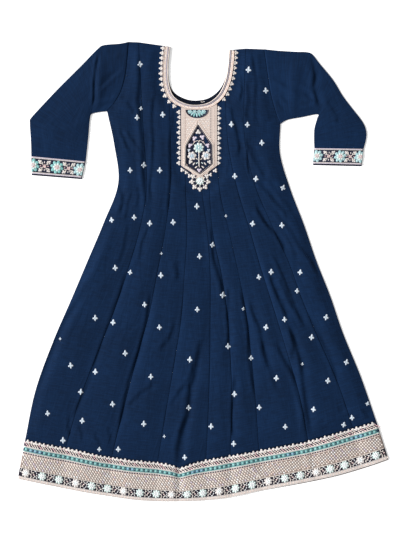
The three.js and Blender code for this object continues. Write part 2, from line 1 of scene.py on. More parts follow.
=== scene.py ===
# %% [markdown]
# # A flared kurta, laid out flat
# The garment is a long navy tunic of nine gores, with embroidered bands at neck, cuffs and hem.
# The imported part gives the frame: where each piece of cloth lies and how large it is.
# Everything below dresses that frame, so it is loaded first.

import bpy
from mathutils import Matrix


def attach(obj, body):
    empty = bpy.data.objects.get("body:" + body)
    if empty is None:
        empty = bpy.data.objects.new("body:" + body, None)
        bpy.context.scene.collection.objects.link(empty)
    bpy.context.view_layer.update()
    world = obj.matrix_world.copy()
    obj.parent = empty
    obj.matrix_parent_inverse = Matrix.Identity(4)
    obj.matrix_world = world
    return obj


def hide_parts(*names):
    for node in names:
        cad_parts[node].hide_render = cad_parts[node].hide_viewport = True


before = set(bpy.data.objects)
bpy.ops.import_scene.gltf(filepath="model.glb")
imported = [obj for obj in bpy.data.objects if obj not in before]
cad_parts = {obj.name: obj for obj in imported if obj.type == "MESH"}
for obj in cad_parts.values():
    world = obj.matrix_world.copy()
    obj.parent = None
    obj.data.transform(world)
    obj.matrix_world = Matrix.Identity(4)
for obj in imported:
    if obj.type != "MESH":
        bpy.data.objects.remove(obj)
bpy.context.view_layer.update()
print("nodes in the frame:", len(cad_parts))

# %% The tools of the workshop
import math

import bpy
import numpy as np
from mathutils import Vector
from mathutils.bvhtree import BVHTree

MM = 0.001
SHIFT = np.array([0.0, 0.28, 0.0])
rng = np.random.default_rng(7)

# %% [markdown]
# ## The camera
# A flat garment is looked at from straight above, like a pattern on a cutting table.
# A long lens keeps the hem and the shoulders at nearly the same scale, as a copy stand does.

# %% Camera over the table
CAMERA_HEIGHT = 3.2
SENSOR = 36.0
PICTURE_HEIGHT = 1.4391
PICTURE_MIDDLE = (-0.0081, 0.0131)

camera_data = bpy.data.cameras.new("camera")
camera_data.sensor_width = SENSOR
camera_data.lens = SENSOR * CAMERA_HEIGHT / PICTURE_HEIGHT
camera = bpy.data.objects.new("camera", camera_data)
camera.location = (*PICTURE_MIDDLE, CAMERA_HEIGHT)
bpy.context.scene.collection.objects.link(camera)
bpy.context.scene.camera = camera
print("lens in millimetres:", round(camera_data.lens, 2))

# %% [markdown]
# ## Light
# Cloth shows its folds by which way each slope faces, so one lamp has to come from the side.
# A sun lamp with a wide disc is a big soft window: even all over the table, with blurred shadows.
# The world fills in the rest, so that the slopes turned away are dim and not black.

# %% Soft window light and fill
KEY_DIRECTION = (math.radians(60), math.radians(0), math.radians(-102))
KEY_STRENGTH = 5.4
KEY_DISC = math.radians(20)
FILL_STRENGTH = 0.24

key = bpy.data.lights.new("window", "SUN")
key.energy = KEY_STRENGTH
key.angle = KEY_DISC
window = bpy.data.objects.new("window", key)
window.rotation_euler = KEY_DIRECTION
bpy.context.scene.collection.objects.link(window)

world = bpy.data.worlds.new("studio")
world.use_nodes = True
world.node_tree.nodes["Background"].inputs["Color"].default_value = (1.0, 1.0, 1.0, 1.0)
world.node_tree.nodes["Background"].inputs["Strength"].default_value = FILL_STRENGTH
bpy.context.scene.world = world
bpy.context.scene.view_settings.view_transform = "Standard"
print("light comes from", [round(math.degrees(a)) for a in KEY_DIRECTION])

# %% [markdown]
# ## Colours
# A dye is easiest to name by the numbers it has on a screen, from 0 to 255.
# Blender's shaders want linear light, so one helper turns screen numbers into linear ones.

# %% From screen numbers to linear colour
def dye(red, green, blue, depth=1.0):
    """A screen colour as linear light, dimmed by depth where the studio light is strong."""
    def linear(value):
        share = value / 255
        return share / 12.92 if share <= 0.04045 else ((share + 0.055) / 1.055) ** 2.4
    return (linear(red) * depth, linear(green) * depth, linear(blue) * depth, 1.0)


# %% [markdown]
# ## Woven cloth as a node group
# Crepe is woven from twisted threads, so up close it is a grid of tiny humps, slightly crinkled.
# Some threads are thicker than others: those slubs show as faint long streaks along and across.
# Navy cloth and the ground of the bands are both woven, so the weave is one group with inputs.

# %% Helpers for node trees
def add_node(tree, kind, **settings):
    node = tree.nodes.new(kind)
    for key_name, value in settings.items():
        setattr(node, key_name, value)
    return node


def plug(tree, socket, value):
    """A socket takes either a link from another node or a plain constant."""
    if isinstance(value, bpy.types.NodeSocket):
        tree.links.new(value, socket)
    else:
        socket.default_value = value


def math_node(tree, operation, first, second):
    node = add_node(tree, "ShaderNodeMath", operation=operation)
    plug(tree, node.inputs[0], first)
    plug(tree, node.inputs[1], second)
    return node.outputs[0]


def named_node(tree, kind, inputs, **settings):
    """A node with its inputs set by name; the answer is its outputs."""
    node = add_node(tree, kind, **settings)
    for name, value in inputs.items():
        plug(tree, node.inputs[name], value)
    return node.outputs


def start_group(name, inputs, outputs):
    """An empty node group that takes a place on the cloth and the named numbers."""
    group = bpy.data.node_groups.new(name, "ShaderNodeTree")
    group.interface.new_socket(name="Place", in_out="INPUT", socket_type="NodeSocketVector")
    for label, value in inputs.items():
        made = group.interface.new_socket(name=label, in_out="INPUT", socket_type="NodeSocketFloat")
        made.default_value = value
    for label in outputs:
        group.interface.new_socket(name=label, in_out="OUTPUT", socket_type="NodeSocketFloat")
    return group, add_node(group, "NodeGroupInput").outputs, add_node(group, "NodeGroupOutput").inputs


def threads_wave(tree, place, rate, direction, distortion):
    """Humps of threads, rate radians a metre; the texture turns 20 of them a metre at scale 1."""
    scale = math_node(tree, "MULTIPLY", rate, 0.05)
    return named_node(tree, "ShaderNodeTexWave", {"Vector": place, "Scale": scale, "Distortion": distortion},
                      wave_type="BANDS", bands_direction=direction)["Fac"]


def clouds(tree, place, scale, **more):
    return named_node(tree, "ShaderNodeTexNoise", {"Vector": place, "Scale": scale, **more})["Fac"]


# %% The weave
THREAD_RATE = 1800.0
SLUB_LENGTH = 36.0


def build_weave():
    group, given, answers = start_group(
        "WovenThreads", {"Thread rate": THREAD_RATE, "Slub length": SLUB_LENGTH},
        ("Height", "Slub", "Mottle", "Crinkle"))
    place = given["Place"]
    waves = [threads_wave(group, place, given["Thread rate"], way, 0.0) for way in ("X", "Y")]
    streaks = []
    for scale, weight in (((1.0, 9.0, 1.0), 1.4), ((14.0, 1.0, 1.0), 0.6)):
        drawn = named_node(group, "ShaderNodeMapping", {"Vector": place, "Scale": scale})["Vector"]
        streak = clouds(group, drawn, given["Slub length"], Detail=3.0)
        streaks.append(math_node(group, "MULTIPLY", streak, weight))
    drape = named_node(group, "ShaderNodeMapping",
                       {"Vector": place, "Scale": (4.0, 1.0, 1.0), "Rotation": (0.0, 0.0, 0.12)})["Vector"]
    slub = math_node(group, "MULTIPLY", math_node(group, "ADD", *streaks), 0.5)
    weave = math_node(group, "MULTIPLY", math_node(group, "ADD", *waves), 0.5)
    plug(group, answers["Height"], math_node(group, "ADD", weave, math_node(group, "MULTIPLY", slub, 1.5)))
    plug(group, answers["Slub"], slub)
    plug(group, answers["Mottle"], clouds(group, place, 9.0, Detail=4.0))
    plug(group, answers["Crinkle"], clouds(group, drape, 9.0, Detail=5.0, Roughness=0.6, Distortion=0.6))
    return group


weave_group = build_weave()
print("woven group made, sockets:", len(weave_group.interface.items_tree))

# %% [markdown]
# ## Satin stitch as a node group
# Machine embroidery fills a shape with parallel threads, so each pad is finely ribbed.
# The ribs follow the direction that the needle took, which each pad carries in its UV map.

# %% The satin stitch
STITCH_RATE = 1600.0


def build_satin():
    group, given, answers = start_group("SatinStitch", {"Stitch rate": STITCH_RATE}, ("Height", "Tone"))
    ribs = threads_wave(group, given["Place"], given["Stitch rate"], "X", 1.2)
    plug(group, answers["Height"], ribs)
    plug(group, answers["Tone"], clouds(group, given["Place"], 260.0, Detail=2.0))
    return group


satin_group = build_satin()
print("satin group made, sockets:", len(satin_group.interface.items_tree))

# %% [markdown]
# ## The finishes
# Every finish is a Principled shader with its own colours and its own share of the groups.
# Dark crepe hardly reflects, so its specular level is low; thread has a soft silky shine.
# What is the same all over a surface is typed straight into the shader's socket.

# %% A base for every finish
def new_finish(name, roughness, shine, sheen):
    material = bpy.data.materials.new(name)
    material.use_nodes = True
    tree = material.node_tree
    shader = tree.nodes["Principled BSDF"]
    shader.inputs["Roughness"].default_value = roughness
    shader.inputs["Specular IOR Level"].default_value = shine
    shader.inputs["Sheen Weight"].default_value = sheen
    return material, tree, shader


def use_group(tree, group, **values):
    """Places a group in a material, with this material's own values."""
    place = add_node(tree, "ShaderNodeUVMap", uv_map="cloth").outputs["UV"]
    inputs = {name.replace("_", " "): value for name, value in values.items()}
    return named_node(tree, "ShaderNodeGroup", {"Place": place, **inputs}, node_tree=group)


def bump_from(tree, shader, height, strength, distance):
    bump = named_node(tree, "ShaderNodeBump", {"Strength": strength, "Distance": distance, "Height": height})
    tree.links.new(bump["Normal"], shader.inputs["Normal"])


def two_tone(tree, factor, low, high, dark, light):
    """Dark where the factor is at low, light where it is at high."""
    share = named_node(tree, "ShaderNodeMapRange", {"Value": factor, "From Min": low, "From Max": high})
    inputs = {"Factor": share["Result"], "A": dark, "B": light}
    return named_node(tree, "ShaderNodeMix", inputs, data_type="RGBA")["Result"]


# %% Woven finishes
def woven_finish(name, dark, light, roughness=0.85, shine=0.10, sheen=0.02, weave=0.05, crinkle=0.0):
    material, tree, shader = new_finish(name, roughness, shine, sheen)
    woven = use_group(tree, weave_group, Thread_rate=THREAD_RATE, Slub_length=SLUB_LENGTH)
    streaked = math_node(tree, "ADD", woven["Slub"], math_node(tree, "MULTIPLY", woven["Mottle"], 0.5))
    tree.links.new(two_tone(tree, streaked, 0.6, 0.9, dark, light), shader.inputs["Base Color"])
    fine = math_node(tree, "MULTIPLY", woven["Height"], weave)
    wide = math_node(tree, "MULTIPLY", woven["Crinkle"], crinkle)
    bump_from(tree, shader, math_node(tree, "ADD", fine, wide), 1.0, 0.001)
    return material


navy_crepe = woven_finish("navy crepe", dye(9, 30, 57), dye(13, 39, 72), crinkle=1.9)
ink_ground = woven_finish("ink ground of the bands", dye(26, 31, 50), dye(42, 47, 68))
# The inside finish is painted shade: the navy at about half its brightness, for the strip of the back that
# shows under the front.
shaded_inside_cloth = woven_finish("inside of the cloth in painted shade", dye(8, 15, 28), dye(12, 21, 38))
print("woven finishes:", navy_crepe.name, ink_ground.name, shaded_inside_cloth.name)

# %% Thread finishes
THREADS = {
    "cream": ((224, 213, 203), (246, 238, 230)),
    "peach": ((228, 204, 192), (246, 228, 218)),
    "pink": ((224, 180, 180), (242, 206, 206)),
    "lilac": ((200, 190, 206), (226, 216, 228)),
    "white": ((226, 228, 230), (250, 250, 250)),
    "frost": ((184, 196, 209), (212, 221, 231)),
    "mint": ((196, 216, 212), (226, 238, 235)),
    "aqua": ((108, 172, 172), (150, 204, 200)),
    "sky": ((104, 152, 182), (146, 190, 210)),
    "ice": ((146, 188, 194), (184, 214, 216)),
    "pearl": ((208, 201, 197), (233, 227, 223)),
    "ink": ((24, 28, 50), (44, 50, 76)),
    "brown": ((150, 118, 110), (184, 152, 142)),
}


def thread_finish(name, low, high):
    material, tree, shader = new_finish(name + " thread", 0.5, 0.3, 0.1)
    stitches = use_group(tree, satin_group, Stitch_rate=STITCH_RATE)
    colour = two_tone(tree, stitches["Tone"], 0.3, 0.7, dye(*low), dye(*high))
    tree.links.new(colour, shader.inputs["Base Color"])
    bump_from(tree, shader, stitches["Height"], 0.35, 0.0003)
    return material


threads = {name: thread_finish(name, *tones) for name, tones in THREADS.items()}
print("threads on the machine:", ", ".join(threads))

# %% [markdown]
# ## The table
# The garment lies on a plain white board. It is a stage piece, so it is not part of the object.
# The board glows a little: painted light that keeps the garment's own shadow on it pale.

# %% White board under the garment
BOARD_PAINTED_GLOW = 0.45
BOARD_HALF = 6.0
BOARD_DOWN = 0.0004
PALE, PALER = (0.93, 0.93, 0.93, 1), (0.96, 0.96, 0.96, 1)


def build_board():
    material, tree, shader = new_finish("white board", 0.7, 0.2, 0.0)
    grain = named_node(tree, "ShaderNodeTexNoise", {"Scale": 30.0})["Fac"]
    tree.links.new(two_tone(tree, grain, 0.3, 0.7, PALE, PALER), shader.inputs["Base Color"])
    # The emission is painted light that fills the garment's shadow on the board.
    shader.inputs["Emission Color"].default_value = (1.0, 1.0, 1.0, 1.0)
    shader.inputs["Emission Strength"].default_value = BOARD_PAINTED_GLOW
    corners = [(-1, -1), (1, -1), (1, 1), (-1, 1)]
    mesh = bpy.data.meshes.new("board")
    mesh.from_pydata([(x * BOARD_HALF, y * BOARD_HALF, 0) for x, y in corners], [], [(0, 1, 2, 3)])
    mesh.materials.append(material)
    board = bpy.data.objects.new("board", mesh)
    board.location.z = -BOARD_DOWN
    bpy.context.scene.collection.objects.link(board)
    return board


board = build_board()
print("board lies at", round(board.location.z, 4))

# %% [markdown]
# ## The cutting table
# Each long seam is written down as its place across at nine levels, from bust line to hem border.
# Neighbouring gores read the same seam, so they always meet. Sizes here are in millimetres.

# %% Levels and seams
LEVELS = np.array([0, 0.1, 0.22, 0.34, 0.46, 0.58, 0.7, 0.85, 1.0])
KNEE, CALF = 0.7, 0.85
SEAMS = {
    "sideLeft": (432, -454, [-259, -240, -229, -268, -313, -358, -404, -452, -480]),
    "princessLeft": (425, -477, [-163, -157, -151, -169, -200, -236, -278, -330, -370]),
    "kaliLeftOuter": (420, -503, [-89, -86, -88, -102, -123, -145, -176, -212, -246]),
    "kaliLeftInner": (417, -515, [-51, -49, -46, -43, -50, -58, -75, -99, -122]),
    "centre": (414, -510, [-15, -10, -2, 13, 20, 20, 19, 15, 8]),
    "kaliRightInner": (412, -498, [14, 14, 18, 27, 50, 66, 74, 79, 74]),
    "kaliRightMid": (410, -485, [39, 39, 46, 71, 95, 116, 129, 142, 151]),
    "kaliRightOuter": (409, -460, [62, 71, 94, 126, 156, 189, 221, 259, 284]),
    "princessRight": (405, -426, [109, 118, 144, 187, 232, 268, 310, 364, 405]),
    "sideRight": (398, -405, [209, 208, 236, 273, 306, 344, 377, 426, 468]),
}
NECK_EDGE = [(-88, 606), (-93, 552), (-91, 506), (-78, 472), (-47, 453), (-14, 449),
             (18, 457), (44, 480), (60, 516), (67, 556), (70, 597)]
NECK_MEETS = {"kaliLeftOuter": 0.29, "kaliLeftInner": 0.4, "centre": 0.5,
              "kaliRightInner": 0.585, "kaliRightMid": 0.67, "kaliRightOuter": 0.79}
NECK_SHARE = 0.72
BACK_NECK_RISE = 12
NECK_BOTTOM = 449
PRINCESS_TOPS = {"princessLeft": (-173, 618), "princessRight": (116, 601)}
ARMHOLES = {
    "sideLeft": [(-200, 619), (-204, 572), (-210, 524), (-222, 484), (-239, 455), (-259, 432)],
    "sideRight": [(165, 599), (170, 562), (176, 522), (184, 476), (195, 434), (209, 398)],
}

# Columns: name, left seam, right seam, belly at waist, knee and border, lean of the crest
PANELS = [
    ("side_left", "sideLeft", "princessLeft", (2.5, 5.0, 3.6), 0.9),
    ("princess_left", "princessLeft", "kaliLeftOuter", (3.0, 5.5, 4.2), 1.2),
    ("kali_left_outer", "kaliLeftOuter", "kaliLeftInner", (0.0, 4.5, 4.0), 0.8),
    ("kali_left_inner", "kaliLeftInner", "centre", (0.0, 5.0, 3.8), 1.0),
    ("kali_centre", "centre", "kaliRightInner", (0.0, 3.6, 3.2), 1.1),
    ("kali_right_inner", "kaliRightInner", "kaliRightMid", (0.0, 5.0, 3.8), 0.8),
    ("kali_right_outer", "kaliRightMid", "kaliRightOuter", (0.0, 5.2, 4.6), 1.2),
    ("princess_right", "kaliRightOuter", "princessRight", (2.5, 6.5, 6.0), 0.7),
    ("side_right", "princessRight", "sideRight", (3.0, 5.0, 3.6), 1.0),
]
print("gores a layer:", len(PANELS))

# %% [markdown]
# ## Curves drawn through chalk marks
# A tailor marks points and draws a smooth line through them. A Catmull-Rom curve does the same:
# it passes through every mark. It is walked by its length, so that equal shares are equal steps.

# %% Smooth lines
def smooth(share):
    held = np.clip(share, 0.0, 1.0)
    return held * held * (3 - 2 * held)


def blend(first, second, share):
    return first + (second - first) * share


def chalk_line(marks):
    """A smooth line through the marks; the answer gives points for shares of its length."""
    marks = np.array(marks, float)
    last = len(marks) - 1

    def on_curve(place):
        k = np.clip(np.floor(place).astype(int), 0, last - 1)
        t = (place - k)[:, None]
        before, here = marks[np.maximum(k - 1, 0)], marks[k]
        there, beyond = marks[k + 1], marks[np.minimum(k + 2, last)]
        leave, arrive = (there - before) / 2, (beyond - here) / 2
        bend = (2 * here - 2 * there + leave + arrive) * t ** 3
        return bend + (3 * there - 3 * here - 2 * leave - arrive) * t ** 2 + leave * t + here

    places = np.linspace(0, last, 401)
    steps = np.diff(on_curve(places), axis=0)
    walked = np.concatenate([[0], np.cumsum(np.hypot(*steps.T))])

    def at(share):
        share = np.atleast_1d(np.asarray(share, float))
        return on_curve(np.interp(share * walked[-1], walked, places))

    return at, walked[-1]


def across_at(seam, level):
    """Where a seam lies across at the levels given, eased between the table's numbers."""
    values = np.array(SEAMS[seam][2], float)
    level = np.atleast_1d(np.asarray(level, float))
    last = len(LEVELS) - 1
    k = np.clip(np.searchsorted(LEVELS, level, side="right") - 1, 0, last - 1)
    span = LEVELS[k + 1] - LEVELS[k]
    t = (level - LEVELS[k]) / span

    def slope(i):
        a, b = np.maximum(0, i - 1), np.minimum(last, i + 1)
        return (values[b] - values[a]) / (LEVELS[b] - LEVELS[a]) * span

    start = (2 * t ** 3 - 3 * t ** 2 + 1) * values[k] + (t ** 3 - 2 * t ** 2 + t) * slope(k)
    return start + (3 * t ** 2 - 2 * t ** 3) * values[k + 1] + (t ** 3 - t ** 2) * slope(k + 1)


def seam_points(seam, level):
    bust, foot = SEAMS[seam][:2]
    level = np.atleast_1d(np.asarray(level, float))
    return np.column_stack([across_at(seam, level), blend(bust, foot, level)])


neck_edge, neck_length = chalk_line(NECK_EDGE)


def back_neck_edge(share):
    """The back neckline is cut a little higher than the front one at the bottom of the U."""
    points = neck_edge(share)
    points[:, 1] += BACK_NECK_RISE * smooth(1 - (points[:, 1] - NECK_BOTTOM) / 110)
    return points


print("length of the neckline in millimetres:", round(neck_length))

# %% [markdown]
# ## Folds and creases
# Thin cloth laid out by hand keeps soft folds. Each one is written down as the line that it runs
# along, half its width, its height (below 0 is a trough) and the side on which it rises first.
# Simulation would give other folds on each garment, so here they are given one by one.

# %% The largest folds, shared with the frame
FOLDS = [
    ((-168, 410), (-154, 150), 20, 3.2),
    ((-240, 110), (-370, -160), 26, 2.6),
    ((-250, 420), (-196, 372), 18, 1.6),
    ((-14, -190), (-63, -531), 19, -4.4),
    ((150, 60), (262, -330), 20, 2.6),
    ((160, 180), (262, -20), 22, -3.0),
    ((146, 340), (262, 90), 22, 2.4),
    ((262, -280), (276, -470), 22, 3.4),
]


def fold_relief(x, y):
    total = np.zeros_like(x)
    for (ax, ay), (bx, by), half_width, height in FOLDS:
        dx, dy = bx - ax, by - ay
        length = math.hypot(dx, dy)
        along = ((x - ax) * dx + (y - ay) * dy) / length ** 2
        aside = np.abs((x - ax) * dy - (y - ay) * dx) / length
        fades = smooth(along / 0.2) * smooth((1.12 - along) / 0.2)
        total += height * fades * smooth(1 - aside / half_width)
    return total


# %% The creases
# Columns: half width, depth, marks from the start of the crease to its end
CREASES = [
    (8, 2.6, [(-170, 605), (-166, 530), (-170, 460), (-164, 406), (-159, 335),
              (-158, 292), (-153, 227), (-148, 152)]),
    (6, 1.7, [(-120, 496), (-131, 460), (-135, 411), (-131, 357), (-133, 292), (-140, 227), (-135, 168)]),
    (5, 1.2, [(-86, 384), (-88, 335), (-85, 260), (-90, 206), (-93, 152)]),
    (4, 1.6, [(-247, 421), (-227, 417), (-208, 420)]),
    (5, 1.6, [(-226, 472), (-205, 460), (-192, 443), (-182, 425)]),
    (4, 1.2, [(-256, 449), (-235, 437), (-212, 434)]),
    (5, 1.8, [(-224, 387), (-211, 357), (-202, 335), (-190, 324)]),
    (5, 1.5, [(-205, 381), (-184, 352), (-164, 324)]),
    (7, 2.2, [(-227, 233), (-213, 206), (-212, 184), (-224, 152)]),
    (6, 1.5, [(-188, 214), (-200, 179), (-206, 133)]),
    (6, 1.3, [(-174, 230), (-169, 206), (-176, 171)]),
    (5, 1.7, [(133, 597), (140, 551), (146, 508), (143, 460), (144, 411), (155, 381)]),
    (5, 1.6, [(120, 516), (127, 460), (119, 422), (125, 405)]),
    (5, 1.5, [(104, 538), (109, 487), (102, 457)]),
    (7, 1.9, [(78, 452), (83, 422), (94, 379), (103, 335), (97, 300)]),
    (6, 2.7, [(115, 361), (137, 314), (164, 265), (171, 246)]),
    (5, 1.6, [(130, 349), (154, 303), (177, 264)]),
    (4, 1.4, [(122, 338), (122, 292), (127, 257)]),
    (7, 3.0, [(147, 244), (173, 222), (194, 195), (224, 163), (236, 133)]),
    (6, 1.9, [(177, 252), (197, 222), (230, 179), (248, 149)]),
    (5, 1.4, [(169, 400), (191, 411), (206, 409)]),
    (6, 1.3, [(61, 322), (73, 292), (64, 257)]),
    (7, 2.8, [(142, 182), (167, 138), (198, 105), (218, 71), (225, 43)]),
    (7, 2.2, [(185, 176), (235, 118), (262, 71), (296, 30), (324, -27)]),
    (6, 1.5, [(207, 128), (242, 71), (256, 20)]),
    (7, 2.2, [(186, 54), (205, 24), (235, -51), (255, -105), (284, -162)]),
    (7, 2.8, [(180, -5), (198, -51), (225, -111), (236, -137)]),
    (6, 1.9, [(207, -14), (235, -78), (250, -109)]),
    (9, 3.0, [(127, -65), (137, -105), (157, -152), (167, -213), (182, -273)]),
    (6, 1.8, [(103, -40), (113, -91), (124, -145), (127, -226), (134, -280), (144, -351)]),
    (8, 3.4, [(230, -133), (255, -199), (269, -253), (275, -321), (289, -402), (290, -452)]),
    (8, 2.2, [(236, -145), (250, -192), (242, -246)]),
    (8, 3.0, [(193, -180), (225, -240), (248, -280), (259, -321), (275, -381), (282, -449)]),
    (7, 2.0, [(281, -101), (323, -186), (350, -246), (371, -310)]),
    (7, 1.3, [(161, -186), (176, -240), (202, -324)]),
    (6, 1.6, [(362, -383), (397, -365), (424, -365), (454, -396)]),
    (5, 1.3, [(292, -404), (313, -410), (333, -407)]),
    (6, 1.9, [(72, -34), (69, -118), (73, -159), (68, -216)]),
    (8, 2.6, [(24, 128), (32, 37), (53, -30), (66, -98)]),
    (6, 1.8, [(88, -277), (80, -388), (84, -459)]),
    (5, 1.4, [(-197, 27), (-224, -64), (-265, -172), (-305, -294), (-356, -412)]),
    (8, 2.3, [(-290, 0), (-332, -78), (-369, -132), (-400, -199), (-452, -338)]),
    (6, 2.1, [(-136, -40), (-150, -132), (-170, -213), (-197, -294), (-217, -388), (-230, -446)]),
    (9, 1.9, [(-74, 27), (-62, 0), (-65, -30)]),
    (6, 1.7, [(-128, -299), (-146, -317), (-170, -334), (-205, -369)]),
    (7, 1.7, [(-71, -138), (-89, -186), (-119, -215)]),
    (4, 1.2, [(-362, -138), (-319, -142), (-268, -146)]),
    (4, 1.1, [(-225, -167), (-197, -159), (-174, -144)]),
    (5, 1.4, [(-335, -412), (-324, -435), (-325, -459)]),
    (5, 1.4, [(-292, -432), (-284, -452), (-271, -473)]),
    (5, 1.3, [(-358, -385), (-362, -415), (-355, -446)]),
    (5, 1.3, [(-256, -418), (-247, -442), (-250, -468)]),
    (5, 1.2, [(-199, 128), (-211, 64), (-225, 20)]),
    (5, 1.2, [(-143, 122), (-162, 78), (-170, 24)]),
    (9, 3.2, [(14, -172), (-3, -196), (-12, -245), (-19, -288), (-30, -315),
              (-36, -385), (-54, -431), (-65, -480), (-65, -529)]),
    (7, 1.6, [(-30, -307), (-50, -320), (-72, -329)]),
    (6, 1.4, [(-23, -240), (-28, -280), (-62, -327), (-89, -368)]),
]
SLEEVE_CREASES = [
    (4, 2.4, [(-279, 596), (-286, 562), (-292, 514), (-293, 465), (-296, 442)]),
    (5, 1.9, [(-282, 490), (-251, 522), (-218, 550)]),
    (5, 1.5, [(-286, 591), (-256, 584), (-227, 588)]),
    (6, 1.2, [(-290, 460), (-267, 469), (-240, 473)]),
    (4, 1.2, [(-278, 439), (-256, 449), (-234, 448)]),
    (8, 1.1, [(-429, 406), (-386, 394), (-332, 402)]),
    (6, 2.7, [(186, 523), (219, 508), (251, 496), (284, 476), (307, 460)]),
    (5, 2.1, [(204, 513), (230, 496), (262, 476), (295, 463)]),
    (5, 1.5, [(207, 477), (230, 457), (262, 448), (295, 449)]),
    (5, 1.3, [(199, 459), (210, 448), (221, 436)]),
    (5, 1.5, [(236, 518), (273, 506), (301, 488)]),
    (7, 3.0, [(289, 588), (300, 562), (305, 530), (301, 497), (310, 465), (318, 437)]),
    (7, 1.3, [(335, 462), (353, 438), (366, 416), (364, 392)]),
    (6, 1.2, [(273, 589), (286, 568), (294, 535)]),
]


def beside_line(marks, x, y):
    """How far each point lies from a line (above 0 is to the right of it) and how far along."""
    marks = np.array(marks, float)
    legs = np.diff(marks, axis=0)
    lengths = np.hypot(*legs.T)
    total = lengths.sum()
    nearest = np.full(x.shape, 1e9)
    side = np.ones(x.shape)
    share = np.zeros(x.shape)
    walked = 0.0
    for (ax, ay), (dx, dy), length in zip(marks, legs, lengths):
        t = np.clip(((x - ax) * dx + (y - ay) * dy) / length ** 2, 0, 1)
        ex, ey = x - ax - dx * t, y - ay - dy * t
        away = np.hypot(ex, ey)
        closer = away < nearest
        nearest = np.where(closer, away, nearest)
        side = np.where(closer, np.where(dx * ey - dy * ex > 0, 1.0, -1.0), side)
        share = np.where(closer, (walked + length * t) / total, share)
        walked += length
    return nearest * side, share


def crease_relief(creases, x, y):
    """Sum of the creases: each is a ridge, a steep trough beside it and a slow rise beyond."""
    total = np.zeros_like(x)
    for half_width, depth, marks in creases:
        reach = 4 * half_width
        low, high = np.min(marks, axis=0) - reach, np.max(marks, axis=0) + reach
        near = (x > low[0]) & (x < high[0]) & (y > low[1]) & (y < high[1])
        if not near.any():
            continue
        aside, share = beside_line(marks, x[near], y[near])
        q = aside / (half_width * CREASE_WIDTH)
        trough = -np.exp(-(q / np.where(q < 0, 0.55, 1.3)) ** 2)
        ridge = 0.55 * np.exp(-((q + 1.25) / 0.7) ** 2)
        ends = smooth(share / 0.16) * smooth((1 - share) / 0.16)
        uneven = 0.85 + 0.15 * np.sin(share * 17 + half_width)
        total[near] += depth * CREASE_DEPTH * ends * uneven * (trough + ridge)
    return total


print("creases laid by hand:", len(CREASES) + len(SLEEVE_CREASES))

# %% [markdown]
# ## How high the front lies
# The bodice front is a little full over the chest, and flat under the stiff embroidery.
# Each gore bellies up between its seams, and every seam draws the cloth down into a groove.

# %% Relief of the front layer
BACK_UNDER = 0.5
LINEN = 0.7
FRONT_UNDER = 2.0
FRONT_TOP = FRONT_UNDER + LINEN
LOWEST = -0.65
SEAM_GROOVE = 0.55
GROOVE_EASY, GROOVE_STEEP = 4.0, 1.2
SEAM_RIDGE = 0.28
RIDGE_ENDS, RIDGE_FADES = 12, 5
ARMHOLE_GROOVE = 0.7
FULLNESS = 3.4
FULLER = 0.52
CREASE_DEPTH = 1.05
CREASE_WIDTH = 1.25
OUTLINE_LEFT = ARMHOLES["sideLeft"] + [tuple(p) for p in seam_points("sideLeft", LEVELS[1:])]
OUTLINE_RIGHT = ARMHOLES["sideRight"] + [tuple(p) for p in seam_points("sideRight", LEVELS[1:])]
SHOULDERS = [[ARMHOLES["sideLeft"][0], PRINCESS_TOPS["princessLeft"], NECK_EDGE[0]],
             [NECK_EDGE[-1], PRINCESS_TOPS["princessRight"], ARMHOLES["sideRight"][0]]]


def belly(heights, level):
    waist, knee, border = heights
    starts = 0.04 if waist > 0 else 0.24
    rising = blend(waist, knee, smooth((level - starts) / (KNEE - starts)))
    falling = blend(knee, border, (level - KNEE) / (1 - KNEE))
    return np.where(level < KNEE, rising, falling) * smooth((level - starts) / 0.22)


def clear_of_trims(x, y):
    """0 under the neck band and the placket, 1 well away from them."""
    neck = np.abs(beside_line(NECK_EDGE, x, y)[0]) - 27
    placket = np.abs(beside_line([(-10, 440), (-10, 290)], x, y)[0]) - 62
    medallion = np.hypot(x + 8, y - 244) - 33
    return smooth(np.minimum(np.minimum(neck, placket), medallion) / 26)


def clear_of_outline(x, y):
    lines = [OUTLINE_LEFT, OUTLINE_RIGHT] + SHOULDERS
    away = np.min([np.abs(beside_line(line, x, y)[0]) for line in lines], axis=0)
    return smooth(away / 30)


def uneven(x, y):
    """Between 0.4 and 1.1, because an iron presses a seam harder in some places than in others."""
    return 0.75 + 0.35 * np.sin(0.031 * y + 0.017 * x) * np.sin(0.012 * y - 0.021 * x + 1.3)


def front_rise(panel, u, width, level, x, y):
    """How high a gore lies at share u of its width: its belly, folds, air, creases and seams."""
    _, _, _, heights, lean = panel
    lift = np.where(level > 0, belly(heights, level) * np.sin(np.pi * u ** lean), 0.0)
    lift = np.maximum(lift + fold_relief(x, y), 0.0) * FULLER
    clear = clear_of_trims(x, y)
    air = FULLNESS * clear * clear_of_outline(x, y) * smooth((y - border_top(x) - 4) / 45)
    lift = lift + air + crease_relief(CREASES, x, y) * clear
    from_left, from_right = u * width, (1 - u) * width
    ridge = SEAM_RIDGE * smooth((RIDGE_ENDS - from_right) / RIDGE_FADES) * smooth(from_right / GROOVE_STEEP)
    groove = np.exp(-(from_left / GROOVE_EASY) ** 2) + np.exp(-(from_right / GROOVE_STEEP) ** 2)
    return lift + (ridge - SEAM_GROOVE * groove) * uneven(x, y)


# %% [markdown]
# ## Cloth from rows of points
# Each sheet is a grid of points with a second grid a thread's thickness below it, closed round
# the rim. The UV map holds true distances on the cloth, so that the weave keeps its scale.

# %% Meshes from grids
def lay_uv(mesh, uv):
    """Writes one place on the cloth for each vertex into the mesh's UV map."""
    layer = mesh.uv_layers.new(name="cloth")
    corner = np.zeros(len(mesh.loops), np.int32)
    mesh.loops.foreach_get("vertex_index", corner)
    layer.data.foreach_set("uv", uv.astype(np.float32)[corner].ravel())


def show(name, shape):
    made = bpy.data.objects.new(name, shape)
    bpy.context.scene.collection.objects.link(made)
    return made


